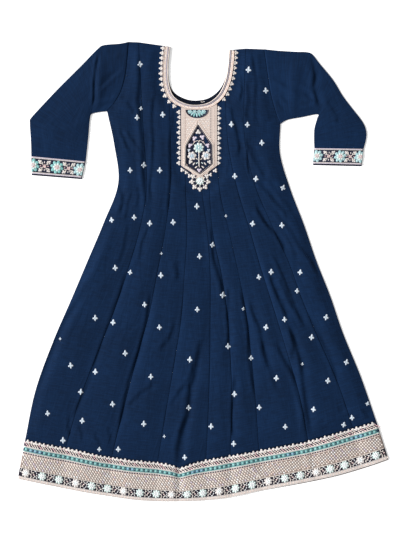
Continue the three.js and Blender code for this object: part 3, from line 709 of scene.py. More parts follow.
def take_places(pieces, prefix=""):
    """Each piece takes the place of the frame's node that has the prefix and its name."""
    for name, piece in pieces.items():
        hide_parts(prefix + name)
    faces = sum(len(piece.data.polygons) for piece in pieces.values())
    print(faces, "faces take the places of", ", ".join(prefix + name for name in pieces))


def new_piece(name, points, faces, finishes, uv, face_finish=None):
    """Makes a smooth object from points in millimetres, with its UV map in metres."""
    mesh = bpy.data.meshes.new(name)
    placed = (np.asarray(points, float) + SHIFT) * MM
    mesh.from_pydata(placed.tolist(), [], faces)
    lay_uv(mesh, np.asarray(uv, np.float32) * MM)
    for finish in finishes:
        mesh.materials.append(finish)
    if face_finish is not None:
        mesh.polygons.foreach_set("material_index", np.asarray(face_finish, np.int32))
    mesh.polygons.foreach_set("use_smooth", np.ones(len(mesh.polygons), bool))
    mesh.update()
    return show(name, mesh)


def grid_faces(rows, columns, start=0, flip=False, wrap=False):
    """Four-sided faces of a grid; wrap joins the last column back to the first."""
    last = columns if wrap else columns - 1
    r, c = (part.ravel() for part in np.meshgrid(np.arange(rows - 1), np.arange(last), indexing="ij"))
    here, after = r * columns + c, r * columns + (c + 1) % columns
    quads = np.column_stack([here, here + columns, after + columns, after])
    if flip:
        quads = quads[:, ::-1]
    return (quads + start).tolist()


def rim_faces(rows, columns, shift):
    rim = [c for c in range(columns - 1)]
    rim += [r * columns + columns - 1 for r in range(rows - 1)]
    rim += [(rows - 1) * columns + c for c in range(columns - 1, 0, -1)]
    rim += [r * columns for r in range(rows - 1, 0, -1)]
    follow = rim[1:] + rim[:1]
    return [[a, b, b + shift, a + shift] for a, b in zip(rim, follow)]


def sheet_piece(name, over, under, uv, finish, other=None):
    """A closed sheet; other is the finish of its upper face, where that differs."""
    rows, columns = over.shape[:2]
    count = rows * columns
    faces = grid_faces(rows, columns)
    faces += grid_faces(rows, columns, count, flip=True)
    faces += rim_faces(rows, columns, count)
    points = np.concatenate([over.reshape(-1, 3), under.reshape(-1, 3)])
    cells = (rows - 1) * (columns - 1)
    upper = None if other is None else [1] * cells + [0] * (len(faces) - cells)
    finishes = [finish] if other is None else [finish, other]
    return new_piece(name, points, faces, finishes, np.concatenate([uv.reshape(-1, 2)] * 2), upper)


# %% [markdown]
# ## The gores
# A kalidar skirt is cut from long gores that widen downwards. Above the bust line the middle ones
# end at the neckline, the others at the shoulder. The rows of a gore follow those edges.

# %% Rows of one gore
SEAM_STEPS = np.array([0.0, 0.8, 1.8, 3.2, 5.5])


def places_across(width, cells):
    edge = SEAM_STEPS * min(1.0, width / 24.0)
    middle = np.linspace(edge[-1], width - edge[-1], cells + 1)[1:-1]
    return np.concatenate([edge, middle, width - edge[::-1]]) / width


def upper_edge(seam, reaches_shoulder, neck):
    bust = seam_points(seam, 0)[0]
    if seam in ARMHOLES:
        return chalk_line(ARMHOLES[seam])[0]
    if seam in PRINCESS_TOPS:
        return lambda t: blend(np.array(PRINCESS_TOPS[seam], float), bust, np.atleast_1d(t)[:, None])
    meets = NECK_MEETS[seam]
    corner = neck(meets)[0]
    if not reaches_shoulder:
        return lambda t: blend(corner, bust, np.atleast_1d(t)[:, None])
    shoulder = 0.0 if seam == "kaliLeftOuter" else 1.0

    def along(t):
        t = np.atleast_1d(t)
        by_neck = neck(blend(shoulder, meets, np.minimum(t / NECK_SHARE, 1)))
        below = blend(corner, bust, ((t - NECK_SHARE) / (1 - NECK_SHARE))[:, None])
        return np.where((t < NECK_SHARE)[:, None], by_neck, below)

    return along


BORDER_TOP = np.array([
    (-480, -454), (-414, -468), (-358, -478), (-268, -498), (-197, -508), (-122, -515), (-84, -522),
    (-63, -531), (-42, -523), (-18, -515), (27, -506), (154, -483), (277, -460), (389, -428),
    (468, -405)], float)


def border_top(x):
    return np.interp(x, BORDER_TOP[:, 0], BORDER_TOP[:, 1])


def meets_neck(panel):
    return panel[1] in NECK_MEETS and panel[2] in NECK_MEETS


def gore_rows(panel, neck, cells, upper_rows, levels):
    """Points, shares across, widths and levels of a gore, row by row from its top edge down."""
    _, start, end, _, _ = panel
    by_neck = meets_neck(panel)
    left, right = upper_edge(start, not by_neck, neck), upper_edge(end, not by_neck, neck)
    grid, shares, widths, heights = [], [], [], []

    def add_row(a, b, height):
        width = np.hypot(*(b - a))
        u = places_across(width, cells)
        grid.append(blend(a, b, u[:, None]))
        shares.append(u)
        widths.append([width])
        heights.append([height])
        return u

    for t in np.arange(upper_rows) / upper_rows:
        u = add_row(left(t)[0], right(t)[0], 0.0)
        if by_neck:
            chord = blend(left(0)[0], right(0)[0], u[:, None])
            grid[-1] += (neck(blend(NECK_MEETS[start], NECK_MEETS[end], u)) - chord) * (1 - t)
    foot_left, foot_right = seam_points(start, 1.0)[0], seam_points(end, 1.0)[0]
    for level in levels:
        u = add_row(seam_points(start, level)[0], seam_points(end, level)[0], level)
        foot = blend(foot_left, foot_right, u[:, None])
        fade = smooth((level - CALF) / (1 - CALF))
        grid[-1][:, 1] += (border_top(foot[:, 0]) - foot[:, 1]) * fade
    return np.array(grid), np.array(shares), np.array(widths), np.array(heights)


RIM_GAP = 0.1


def inset(grid):
    """Draws the rim in by half the gap that neighbouring sheets keep."""
    drawn = grid.copy()
    drawn[:, 0, 0] += RIM_GAP
    drawn[:, -1, 0] -= RIM_GAP
    drawn[0, :, 1] -= RIM_GAP
    drawn[-1, :, 1] += RIM_GAP
    return drawn


def cloth_uv(grid, shares, widths):
    across = (shares - 0.5) * widths
    middle = grid[:, grid.shape[1] // 2]
    down = np.concatenate([[0], np.cumsum(np.hypot(*np.diff(middle, axis=0).T))])
    return np.dstack([across, np.repeat(-down[:, None], grid.shape[1], axis=1)])


# %% The front gores
FRONT_CELL, BACK_CELL = 4.5, 9
ARMHOLE_SOFT = 3.0
BORDER_SEAM, BORDER_SOFT = 0.8, 2.5


def cut_gore(panel, neck, cell, by_neck_rows, shoulder_rows, levels):
    """Rows of a gore with its foot cut into cells, and how high the front lies over them."""
    foot = across_at(panel[2], 1.0)[0] - across_at(panel[1], 1.0)[0]
    upper_rows = by_neck_rows if meets_neck(panel) else shoulder_rows
    grid, shares, widths, level = gore_rows(
        panel, neck, int(foot / cell), upper_rows, np.linspace(0, 1, levels))
    x, y = grid[..., 0], grid[..., 1]
    rise = front_rise(panel, shares, widths, level + 0 * x, x, y)
    return grid, shares, widths, level, rise


def build_front(panel):
    grid, shares, widths, level, rise = cut_gore(panel, neck_edge, FRONT_CELL, 10, 38, 181)
    x, y = grid[..., 0], grid[..., 1]
    if not meets_neck(panel):
        shoulder = np.hypot(*(grid - grid[:1]).transpose(2, 0, 1))
        rise -= ARMHOLE_GROOVE * np.exp(-(shoulder / ARMHOLE_SOFT) ** 2)
    rise -= BORDER_SEAM * np.exp(-((y - border_top(x)) / BORDER_SOFT) ** 2) * (level > CALF)
    rise = np.maximum(rise, LOWEST)
    flat = inset(grid)
    over = np.dstack([flat, FRONT_TOP + rise])
    under = np.dstack([flat, FRONT_UNDER + rise])
    return sheet_piece("cloth_front_" + panel[0], over, under, cloth_uv(grid, shares, widths), navy_crepe)


front = {panel[0]: build_front(panel) for panel in PANELS}
take_places(front, "front_")

# %% [markdown]
# ## The back gores
# The back lies flat under the front, cut by the same seams, so only its edges and its inside show.
# Its folds are shallow, because the weight of the front presses them down.

# %% Gores of the back layer
SEAM_WELT = 0.25


def build_back(panel):
    grid, shares, widths, _, rise = cut_gore(panel, back_neck_edge, BACK_CELL, 6, 18, 91)
    room = np.maximum(rise, 0.0)
    folds = np.clip(-0.4 * crease_relief(CREASES, -grid[..., 0], grid[..., 1] + 35), 0, 0.35 * room)
    seam = np.minimum(shares, 1 - shares) * widths
    folds += SEAM_WELT * np.exp(-(seam / 2.0) ** 2) * (room > 0.4)
    over = np.dstack([grid, BACK_UNDER + LINEN + folds])
    under = np.dstack([grid, BACK_UNDER + folds])
    # The upper face of each back gore takes the inside finish, which is painted shade.
    return sheet_piece("cloth_back_" + panel[0], over, under, cloth_uv(grid, shares, widths), navy_crepe,
                       shaded_inside_cloth)


back = {panel[0]: build_back(panel) for panel in PANELS}
take_places(back, "back_")

# %% [markdown]
# ## The sleeves
# A sleeve is a tube, pressed flat by its own weight, with a fold along each edge.
# Rings of points run round it, out along the under layer and back over the top one.

# %% Edges of the two sleeves
SLEEVES = {
    "left": dict(
        armhole="sideLeft", outward=-1,
        upper=[(-200, 619), (-224, 614), (-267, 610), (-284, 600), (-328, 555), (-386, 497), (-425, 456),
               (-464, 413), (-467, 400), (-464, 350), (-463, 310)],
        under=[(-259, 432), (-279, 430), (-300, 425), (-305, 412), (-309, 370), (-313, 332), (-317, 296)],
        cuff=[(-462, 263), (-327, 252)]),
    "right": dict(
        armhole="sideRight", outward=1,
        upper=[(165, 599), (202, 595), (251, 592), (280, 591), (295, 585), (315, 560), (351, 516),
               (378, 472), (403, 439), (430, 404), (440, 380), (440, 358), (433, 330)],
        under=[(209, 398), (228, 409), (265, 416), (309, 424), (308, 412), (301, 385), (300, 354),
               (301, 332)],
        cuff=[(428, 287), (297, 290)]),
}
SLEEVE_SWELL = 3.2
SLEEVE_LONG = 330
BEND_AT, BEND_HALF, BEND_RISE = 0.2, 0.07, 2.4
SLEEVE_CELLS = 34


def sleeve_line(sleeve, v):
    """The straight line across a sleeve at v, bowed like the armhole where it starts."""
    armhole = chalk_line(ARMHOLES[sleeve["armhole"]])[0]
    a = chalk_line(sleeve["upper"])[0](v)[0]
    b = chalk_line(sleeve["under"])[0](v)[0]
    ends = armhole([0, 1])
    bow = (1 - v) ** 2

    def at(u):
        u = np.atleast_1d(np.asarray(u, float))
        inside = np.clip(u, 0, 1)
        bowed = armhole(inside) - blend(ends[0], ends[1], inside[:, None])
        return blend(a, b, u[:, None]) + bowed * bow

    return at


def sleeve_swell(v, u):
    """How full the tube is at share v down the sleeve: slight at the armhole, fullest at the bend."""
    bend = BEND_RISE * smooth(1 - abs(v - BEND_AT) / BEND_HALF)
    drawn = blend(1, 0.5, smooth((v - 0.75) / 0.25))
    return (SLEEVE_SWELL * smooth(v / 0.25) + bend) * drawn * np.sin(np.pi * np.clip(u, 0, 1))


# %% Tubes pressed flat
FOLD_BULGE = 0.5


def tube_ring(at, width, top, bottom, wall):
    """One ring: out along the under layer, round the fold, and back over the top layer."""
    margin = wall / width
    inside = blend(margin, 1 - margin, places_across(width, SLEEVE_CELLS))
    flat = at(inside)
    low = np.column_stack([flat, np.full(len(flat), bottom + wall)])
    high = np.column_stack([flat, top(inside) - wall])[::-1]
    bulge = (FOLD_BULGE - wall) / width
    middle = (low[0, 2] + high[-1, 2]) / 2
    far = np.append(at([1 + bulge])[0], middle)
    near = np.append(at([-bulge])[0], middle)
    return np.concatenate([low, [far], high, [near]])


def tube_piece(name, outer, inner, finish):
    outer, inner = np.array(outer), np.array(inner)
    rows, around = outer.shape[:2]
    count = rows * around
    faces = grid_faces(rows, around, 0, flip=True, wrap=True)
    faces += grid_faces(rows, around, count, wrap=True)
    for k in range(around):
        after = (k + 1) % around
        faces.append([after, k, k + count, after + count])
        last = (rows - 1) * around
        faces.append([last + k, last + after, last + after + count, last + k + count])
    steps = np.linalg.norm(np.diff(outer[rows // 2], axis=0), axis=1)
    across = np.concatenate([[0], np.cumsum(steps)])
    down = np.concatenate([[0], np.cumsum(np.linalg.norm(np.diff(outer[:, around // 4], axis=0), axis=1))])
    uv = np.dstack(np.meshgrid(across, -down)).reshape(-1, 2)
    points = np.concatenate([outer.reshape(-1, 3), inner.reshape(-1, 3)])
    return new_piece(name, points, faces, [finish], np.concatenate([uv, uv]))


def build_tube(name, rings, ring_at, bottom, moved, finish):
    """A tube of rings; ring_at gives each one's line and height, moved shifts its under layer."""
    outer, inner = [], []
    for v in np.linspace(0, 1, rings):
        at, top = ring_at(v)
        width = np.hypot(*(at([1.0])[0] - at([0.0])[0]))
        for wall, layer in ((0, outer), (LINEN, inner)):
            ring = tube_ring(at, width, top, bottom, wall)
            ring[:len(ring) // 2 - 1, :2] += moved(v)
            layer.append(ring)
    return tube_piece(name, outer, inner, finish)


# %% Sew the sleeves
TUCKED = 2.5
BAND_GAP = 0.15


def build_sleeve(side):
    sleeve = SLEEVES[side]

    def ring_at(v):
        line = sleeve_line(sleeve, v)

        def at(u):
            return line(u) + np.array([0, BAND_GAP * (v == 1)])

        def height(u):
            x, y = at(u).T
            creases = crease_relief(SLEEVE_CREASES, x, y) * smooth(np.minimum(u, 1 - u) / 0.12)
            seam = ARMHOLE_GROOVE * math.exp(-((v * SLEEVE_LONG) / ARMHOLE_SOFT) ** 2)
            return FRONT_TOP + np.maximum(sleeve_swell(v, u) + creases - seam, LOWEST)

        return at, height

    return build_tube("cloth_sleeve_" + side, 96, ring_at, 0.0,
                      lambda v: (-sleeve["outward"] * TUCKED * (v == 0), 0), navy_crepe)


sleeves = {side: build_sleeve(side) for side in SLEEVES}
take_places(sleeves, "sleeve_")

# %% [markdown]
# ## The cuff bands
# A stiff embroidered strip goes round the end of each sleeve. Its under layer hangs a little
# lower, so a dark line shows below the front edge.

# %% Cuff tubes
CUFF_DROP = 3.5


def cuff_flat(side, u, v):
    """Where the cuff lies at share u across it and share v down it."""
    start = sleeve_line(SLEEVES[side], 1.0)
    end = np.array(SLEEVES[side]["cuff"], float)
    u, v = np.broadcast_arrays(np.asarray(u, float), np.asarray(v, float))
    low = end[0] + (end[1] - end[0]) * u.reshape(-1, 1)
    flat = blend(start(u.ravel()), low, v.reshape(-1, 1))
    return flat.reshape(u.shape + (2,))


def cuff_height(u):
    return FRONT_TOP + sleeve_swell(1.0, u)


def build_cuff(side):
    def ring_at(v):
        return lambda u: cuff_flat(side, u, v) - np.array([0, BAND_GAP * (v == 0)]), cuff_height

    return build_tube("cloth_cuff_" + side, 10, ring_at, BACK_UNDER, lambda v: (0, -v * CUFF_DROP),
                      ink_ground)


cuffs = {side: build_cuff(side) for side in SLEEVES}
take_places(cuffs, "cuff_band_")

# %% [markdown]
# ## The hem border cloth
# The border is one wide strip, pleated with the gore above it where it dips into a notch.
# It reads its waves from the feet of the gores and lets them relax towards the hem.

# %% Where the border lies
HEM_LINE = np.array([
    (-500, -560), (-369, -587), (-279, -603), (-197, -615), (-137, -620), (-76, -620.4), (4, -618),
    (72, -610), (154, -592), (266, -570), (329, -557), (378, -545), (445, -525), (500, -506)], float)
NOTCH_X, NOTCH_HEM_X = -63.0, -66.0
NOTCH_SHARE = (NOTCH_HEM_X - HEM_LINE[0, 0]) / (HEM_LINE[-1, 0] - HEM_LINE[0, 0])
FEET = np.array([across_at(seam, 1.0)[0] for seam in SEAMS])
hem_curve = chalk_line(HEM_LINE)[0](np.linspace(0, 1, 400))


def border_flat(s, t):
    """Where the border lies at share s along it and share t down it."""
    hem_x = blend(HEM_LINE[0, 0], HEM_LINE[-1, 0], s)
    top_x = np.where(s < NOTCH_SHARE, blend(FEET[0], NOTCH_X, s / NOTCH_SHARE),
                     blend(NOTCH_X, FEET[-1], (s - NOTCH_SHARE) / (1 - NOTCH_SHARE)))
    hem_y = np.interp(hem_x, hem_curve[:, 0], hem_curve[:, 1])
    return np.dstack([blend(top_x, hem_x, t), blend(border_top(top_x), hem_y, t)]), top_x


def border_rise(top_x, y_top, t):
    rise = np.zeros_like(top_x)
    for k, panel in enumerate(PANELS):
        a, b = FEET[k], FEET[k + 1]
        mine = (top_x >= a - 0.01) & (top_x <= b + 0.01)
        u = np.clip((top_x - a) / (b - a), 0, 1)
        lift = belly(panel[3], 1.0) * np.sin(np.pi * u ** panel[4])
        lift = np.maximum(lift + fold_relief(top_x, y_top), 0.0)
        rise = np.where(mine, lift, rise)
    notch = 1.8 * np.exp(-((top_x - NOTCH_X) / 7.0) ** 2)
    return np.maximum(rise * blend(1.0, 0.45, t) - notch * (1 - t), LOWEST)


def border_surface(s, t, height):
    """Points of the border's upper face, lifted by height; s and t are shares, height millimetres."""
    s, t, height = np.broadcast_arrays(*(np.asarray(v, float) for v in (s, t, height)))
    flat, top_x = border_flat(s, t)
    rise = border_rise(top_x, border_top(top_x), t)
    return np.dstack([flat, FRONT_TOP + 0.3 + rise + height])


# %% [markdown]
# The ground of the border is dyed in stripes: ink behind the open work, beige behind the dense
# fillings. A constant colour ramp down the UV map gives the stripes, and the weave goes over them.

# %% Striped ground of the border
BORDER_LONG, BORDER_DEEP = 1010.0, 105.0
STRIPE_DEPTH = 0.86
STRIPES = [
    (0.0, (26, 34, 60)), (16.4, (214, 196, 188)), (19.4, (24, 40, 66)), (29.8, (206, 188, 180)),
    (33.0, (60, 54, 74)), (36.2, (206, 188, 180)), (38.4, (158, 142, 134)), (73.6, (40, 36, 50)),
    (96.2, (218, 204, 198)),
]


def striped_finish(name):
    material, tree, shader = new_finish(name, 0.8, 0.12, 0.05)
    woven = use_group(tree, weave_group, Thread_rate=THREAD_RATE, Slub_length=SLUB_LENGTH)
    place = add_node(tree, "ShaderNodeUVMap", uv_map="cloth").outputs["UV"]
    down = named_node(tree, "ShaderNodeSeparateXYZ", {"Vector": place})["Y"]
    ramp = add_node(tree, "ShaderNodeValToRGB")
    ramp.color_ramp.interpolation = "CONSTANT"
    stops = ramp.color_ramp.elements
    stops[0].color = dye(*STRIPES[0][1], STRIPE_DEPTH)
    stops.remove(stops[1])
    for deep, colour in STRIPES[1:]:
        stops.new(deep / BORDER_DEEP).color = dye(*colour, STRIPE_DEPTH)
    plug(tree, ramp.inputs["Fac"], math_node(tree, "MULTIPLY", down, -1 / (BORDER_DEEP * MM)))
    shade = math_node(tree, "ADD", math_node(tree, "MULTIPLY", woven["Mottle"], 0.5), 0.75)
    tint = named_node(tree, "ShaderNodeMix", {"Factor": 1.0, "A": ramp.outputs["Color"], "B": shade},
                      data_type="RGBA", blend_type="MULTIPLY")
    tree.links.new(tint["Result"], shader.inputs["Base Color"])
    bump_from(tree, shader, woven["Height"], 0.35, 0.0002)
    return material


border_ground = striped_finish("striped ground of the border")

# %% Cloth of the border
BACK_LOWER = 3.0


def lower_behind(x, t):
    """How far the back border hangs below the front one: nothing at the left, most at the right."""
    return BACK_LOWER * t * smooth((x - 40) / 300)


def build_border(name, s_from, s_to, cells, back_layer):
    s = np.linspace(s_from, s_to, cells + 1)[None, :]
    t = np.linspace(0, 1, 27)[:, None]
    s, t = np.broadcast_arrays(s, t)
    over = border_surface(s, t, 0.0)
    if back_layer:
        over[..., 1] -= lower_behind(over[..., 0], t)
        over[..., 2] = BACK_UNDER + LINEN
    over[:, 0, 0] += BAND_GAP
    over[:, -1, 0] -= BAND_GAP
    over[0, :, 1] -= BAND_GAP
    under = over.copy()
    under[..., 2] -= LINEN
    uv = np.dstack([s * BORDER_LONG, -t * BORDER_DEEP])
    return sheet_piece(name, over, under, uv, border_ground)


borders = {
    "hem_border_left": build_border("cloth_border_left", 0.0, NOTCH_SHARE, 150, False),
    "hem_border_right": build_border("cloth_border_right", NOTCH_SHARE, 1.0, 190, False),
    "hem_border_back": build_border("cloth_border_back", 0.0, 1.0, 150, True),
}
take_places(borders)

# %% [markdown]
# ## Embroidery as raised pads and cords
# A filled stitch stands up like a small pillow, and a corded line like a thin rope.
# One helper makes a pad from any outline and one a cord along any path. They are collected as
# plain lists and become one joined object a piece of work, which is far lighter than many objects.

# %% Outlines of petals and leaves
def oval(x, y, long, wide, turn=0.0, tip=0.0, corners=8):
    """An egg shape round (x, y); tip above 0 narrows the far end into a leaf."""
    t = np.arange(corners) * 2 * np.pi / corners
    a = np.cos(t) * long / 2
    b = np.sin(t) * wide / 2 * (1 - tip * (1 + np.cos(t)) / 2)
    c, s = math.cos(turn), math.sin(turn)
    return np.column_stack([x + a * c - b * s, y + a * s + b * c])


def petal(x, y, turn, far, long, wide, tip=0.0, corners=8):
    """An oval that points away from (x, y), with its middle far out along turn."""
    return oval(x + far * math.cos(turn), y + far * math.sin(turn), long, wide, turn, tip, corners)


def ray(turn):
    return np.array([math.cos(turn), math.sin(turn)])


# %% The collector of stitches
PAD_SUNK = 0.12
SHOULDER_IN, SHOULDER_UP = 0.62, 0.78
CORD_UP = 0.6
# Columns: turn from the middle petal, how far out, length and width, as shares of the motif's size
TREFOIL = ((1.75, 0.23, 0.52, 0.5), (-1.75, 0.23, 0.52, 0.5), (0.0, 0.27, 0.56, 0.5))


class Needlework:
    """Collects pads and cords for one object, each with the thread that it is sewn in."""

    def __init__(self):
        self.points, self.faces, self.colours, self.uv, self.palette = [], [], [], [], []

    def _take(self, points, faces, uv, colour):
        if colour not in self.palette:
            self.palette.append(colour)
        shift = len(self.points)
        self.points += points
        self.uv += uv
        self.faces += [[i + shift for i in face] for face in faces]
        self.colours += [self.palette.index(colour)] * len(faces)

    def pad(self, outline, colour, rise=0.7, turn=0.0, base=0.0):
        """A small pillow: sunk at its rim, steep to the shoulder and slightly domed above it."""
        outline = np.asarray(outline, float)
        count = len(outline)
        middle = outline.mean(0)
        inner = middle + (outline - middle) * SHOULDER_IN
        sunk, shoulder = base - PAD_SUNK, base + rise * SHOULDER_UP
        points = [(x, y, sunk) for x, y in outline] + [(x, y, shoulder) for x, y in inner]
        points.append((*middle, base + rise))
        c, s = math.cos(turn), math.sin(turn)
        uv = [(x * c + y * s, y * c - x * s) for x, y, _ in points]
        faces = [list(range(count))[::-1]]
        for k in range(count):
            after = (k + 1) % count
            faces.append([k, after, count + after, count + k])
            faces.append([count + k, count + after, 2 * count])
        self._take(points, faces, uv, colour)

    def cord(self, path, radius, colour, base=0.0, sides=6):
        path = np.asarray(path, float)
        ahead = np.gradient(path, axis=0)
        ahead /= np.maximum(np.hypot(*ahead.T), 1e-9)[:, None]
        points, uv = [], []
        walked = np.concatenate([[0], np.cumsum(np.hypot(*np.diff(path, axis=0).T))])
        for (x, y), (dx, dy), far in zip(path, ahead, walked):
            for k in range(sides):
                a = 2 * math.pi * k / sides
                out, up = radius * math.cos(a), radius * math.sin(a)
                points.append((x - dy * out, y + dx * out, base + radius * CORD_UP + up))
                uv.append((far + k * 0.3, k * radius))
        faces = [list(range(sides))]
        for here in range(0, (len(path) - 1) * sides, sides):
            there = here + sides
            for k in range(sides):
                after = (k + 1) % sides
                faces.append([here + after, here + k, there + k, there + after])
        faces.append([there + k for k in range(sides)][::-1])
        self._take(points, faces, uv, colour)

    def lines(self, rows, long, margin, steps):
        """Straight cords along a strip; each row says how deep it lies, its radius and its thread."""
        for deep, radius, colour in rows:
            along_it = np.linspace(margin, long - margin, steps)
            self.cord(np.column_stack([along_it, np.full(steps, deep)]), radius, colour)

    def arms(self, x, y, turn, size, table, colour, rise, base=0.0, tip=0.0, corners=8):
        for aside, far, long, wide in table:
            a = turn + aside
            outline = petal(x, y, a, far * size, long * size, wide * size, tip, corners)
            self.pad(outline, colour, rise, a, base)

    def flower(self, x, y, reach, petals, colour, heart, turn=0.0, rise=0.9, base=0.0):
        away = reach * 0.62
        wide = min(reach * 0.75, 2.4 * away * math.sin(math.pi / petals))
        for k in range(petals):
            a = turn + 2 * math.pi * k / petals
            self.pad(petal(x, y, a, away, reach * 0.76, wide), colour, rise, a, base)
        self.pad(oval(x, y, reach * 0.62, reach * 0.62), heart, rise * 1.3, turn, base)

    def trefoil(self, x, y, size, turn, colour, rise=0.7, base=0.0):
        """Three full petals that touch, the middle one pointing along turn, over a round heart."""
        self.arms(x, y, turn, size, TREFOIL, colour, rise, base)
        self.pad(oval(x, y, size * 0.4, size * 0.4, turn), colour, rise * 1.05, turn, base)


def sew(name, place, *charts):
    """Makes one object of the charts; place turns their points into millimetres on the garment."""
    work = Needlework()
    for chart in charts:
        chart(work)
    finishes = [threads[colour] for colour in work.palette]
    print(name, "has", len(work.faces), "faces in", len(work.palette), "threads")
    return new_piece(name, place(np.array(work.points)), work.faces, finishes, work.uv, work.colours)


def on_front(points):
    return points + np.array([0, 0, FRONT_TOP])


# %% [markdown]
# ## Embroidery of the hem border
# From the top down: a lace edge of trefoils and round lobes, a peach net with dark knots, an aqua
# ribbon with ink marks, a line of knots, a wide field of slanting dashes, a row of blossoms with
# leaves on an ink ground, and a satin stitched edge. It is charted once, in millimetres along
# and down the strip, and set on the front upwards and on the back downwards.

# %% Lace edge, net and lines
LOBE_PITCH = 5.75
NET_PITCH = 7.7
NET_TOP = 7.8
BORDER_LINES = ((17.3, 1.5, "pearl"), (20.2, 0.9, "aqua"), (29.0, 0.9, "aqua"), (31.6, 1.3, "pearl"),
                (37.4, 1.0, "peach"), (74.0, 0.8, "cream"), (96.8, 0.8, "pearl"), (104.0, 0.9, "pearl"))


def wobble(spread):
    """A small chance difference, the same at each run because the dice are seeded."""
    return spread * float(rng.standard_normal())


def chart_peaks(work):
    """Lace-like upper edge: a full trefoil at every fourth lobe, round lobes between them."""
    for k in range(1, int(BORDER_LONG / LOBE_PITCH) - 1):
        a = 3 + LOBE_PITCH * k
        if k % 4 == 1:
            size = 12.6 + wobble(1.1)
            work.trefoil(a + 0.1 * size - 1.3, 4.7, size, -math.pi / 2, "pearl", 0.8)
        elif k % 4 == 3:
            work.pad(oval(a, 3.3 + wobble(0.4), 8.8, 7.4), "pearl", 0.8)
        else:
            work.pad(oval(a, 5.0, 6.4, 4.8), "pink" if k % 8 == 2 else "cream", 0.7)


def chart_net(work):
    """Peach net in slanting rows, with ink knots between the stitches."""
    for k in range(int(BORDER_LONG / NET_PITCH)):
        a = 3 + NET_PITCH * k
        for deep, tone in ((NET_TOP, "cream"), (11.4, "peach"), (14.8, "cream")):
            shift = (deep - NET_TOP) * 1.1 + wobble(0.7)
            slant = 0.5 + wobble(0.15)
            work.pad(oval(a + shift, deep, 7.6, 3.3, slant, 0, 6), tone if k % 5 else "pink", 0.6)
        for aside, deep in ((5.2, 9.2), (1.4, 12.9)):
            work.pad(oval(a + (aside + wobble(0.6)), deep, 3.2, 2.5), "ink", 0.7)


def chart_lines(work):
    work.lines(BORDER_LINES, BORDER_LONG, 1, 220)


# %% Ribbon and slanting field
RIBBON_PITCH = 13.0
RIBBON_TOP, RIBBON_MIDDLE, RIBBON_FOOT = 21.2, 24.6, 28.0
BLOCK_HALF = 4.1
KNOT_PITCH = 6.9
HATCH_TONES = ("cream", "peach", "cream", "pearl", "cream", "white", "cream", "pearl", "cream", "lilac")
HATCH_TURNS = 640.0
HATCH_STEP = 5.66


def chart_ribbon(work):
    """Aqua blocks on ink, each with a pale pad in its middle as a painted highlight, their thread changed to
    sky blue now and then, and knots below.
    """
    for k in range(int(BORDER_LONG / RIBBON_PITCH)):
        a = 8 + RIBBON_PITCH * k
        tone = "sky" if math.sin(k * 0.9) + math.sin(k * 0.37) > 1.1 else "aqua"
        left, right = a - BLOCK_HALF, a + BLOCK_HALF
        block = [(left, RIBBON_TOP), (right, RIBBON_TOP), (right, RIBBON_FOOT), (left, RIBBON_FOOT)]
        work.pad(block, tone, 0.35, math.pi / 2)
        # The pale ice pad is a painted highlight on the block.
        work.pad(oval(a, RIBBON_MIDDLE, 3.9, 4.6), "ice", 0.5)
        work.pad(oval(a + RIBBON_PITCH / 2, RIBBON_MIDDLE, 5.4, 1.6), tone, 0.4)
    for k in range(int(BORDER_LONG / KNOT_PITCH)):
        work.pad(oval(7.4 + KNOT_PITCH * k, 34.5, 3.6, 2.6), "cream" if k % 3 else "peach", 0.6)


def chart_hatch(work):
    """Slanting lines of long stitches. Past HATCH_TURNS the stitches are short and staggered."""
    across, a = 0, -30.0
    while a < BORDER_LONG:
        lines = a < HATCH_TURNS
        long, wide, lean = (9.0, 4.4, 0.96) if lines else (6.6, 4.4, 0.55)
        for row in range(6):
            stagger = 0.0 if lines else 0.5 * (across % 2)
            middle = 41.4 + (row + stagger) * HATCH_STEP
            place = a + (middle - 38.5) * lean
            if middle > 72.5 or not 4 < place < BORDER_LONG - 4:
                continue
            tone = HATCH_TONES[int(rng.integers(len(HATCH_TONES)))]
            slant = 0.8 + wobble(0.04)
            work.pad(oval(place, middle, long, wide, slant, 0, 6), tone, 0.6, slant)
        a += 7.9 if lines else 6.6
        across += 1


# %% Blossoms and leaves
# How far along the strip the middle of each blossom lies
BLOSSOMS = [19, 64, 110, 156, 200, 243, 287, 332, 377, 419, 462, 505, 550, 595, 641, 685, 731, 774,
            817, 856, 896, 939, 982]
# Columns: turn of the leaf, how far along and how far down from the middle of the branch
BRANCH_LEAVES = [
    (0.7, -6.2, 5.0), (-0.8, -2.4, -4.8), (2.3, 3.0, 4.8), (-2.2, 6.6, -4.6), (1.6, -0.6, 8.4),
    (-1.4, -8.2, -8.0), (1.2, 8.6, 7.8), (-0.3, 0.2, 0.4), (0.4, 2.8, -8.8), (-0.5, -8.4, 0.6),
    (0.5, 8.6, 1.4), (2.0, -7.4, 9.0),
]
ROW_MIDDLE = 85.2
BLOSSOM_PITCH = 45
SATIN_PITCH = 2.6


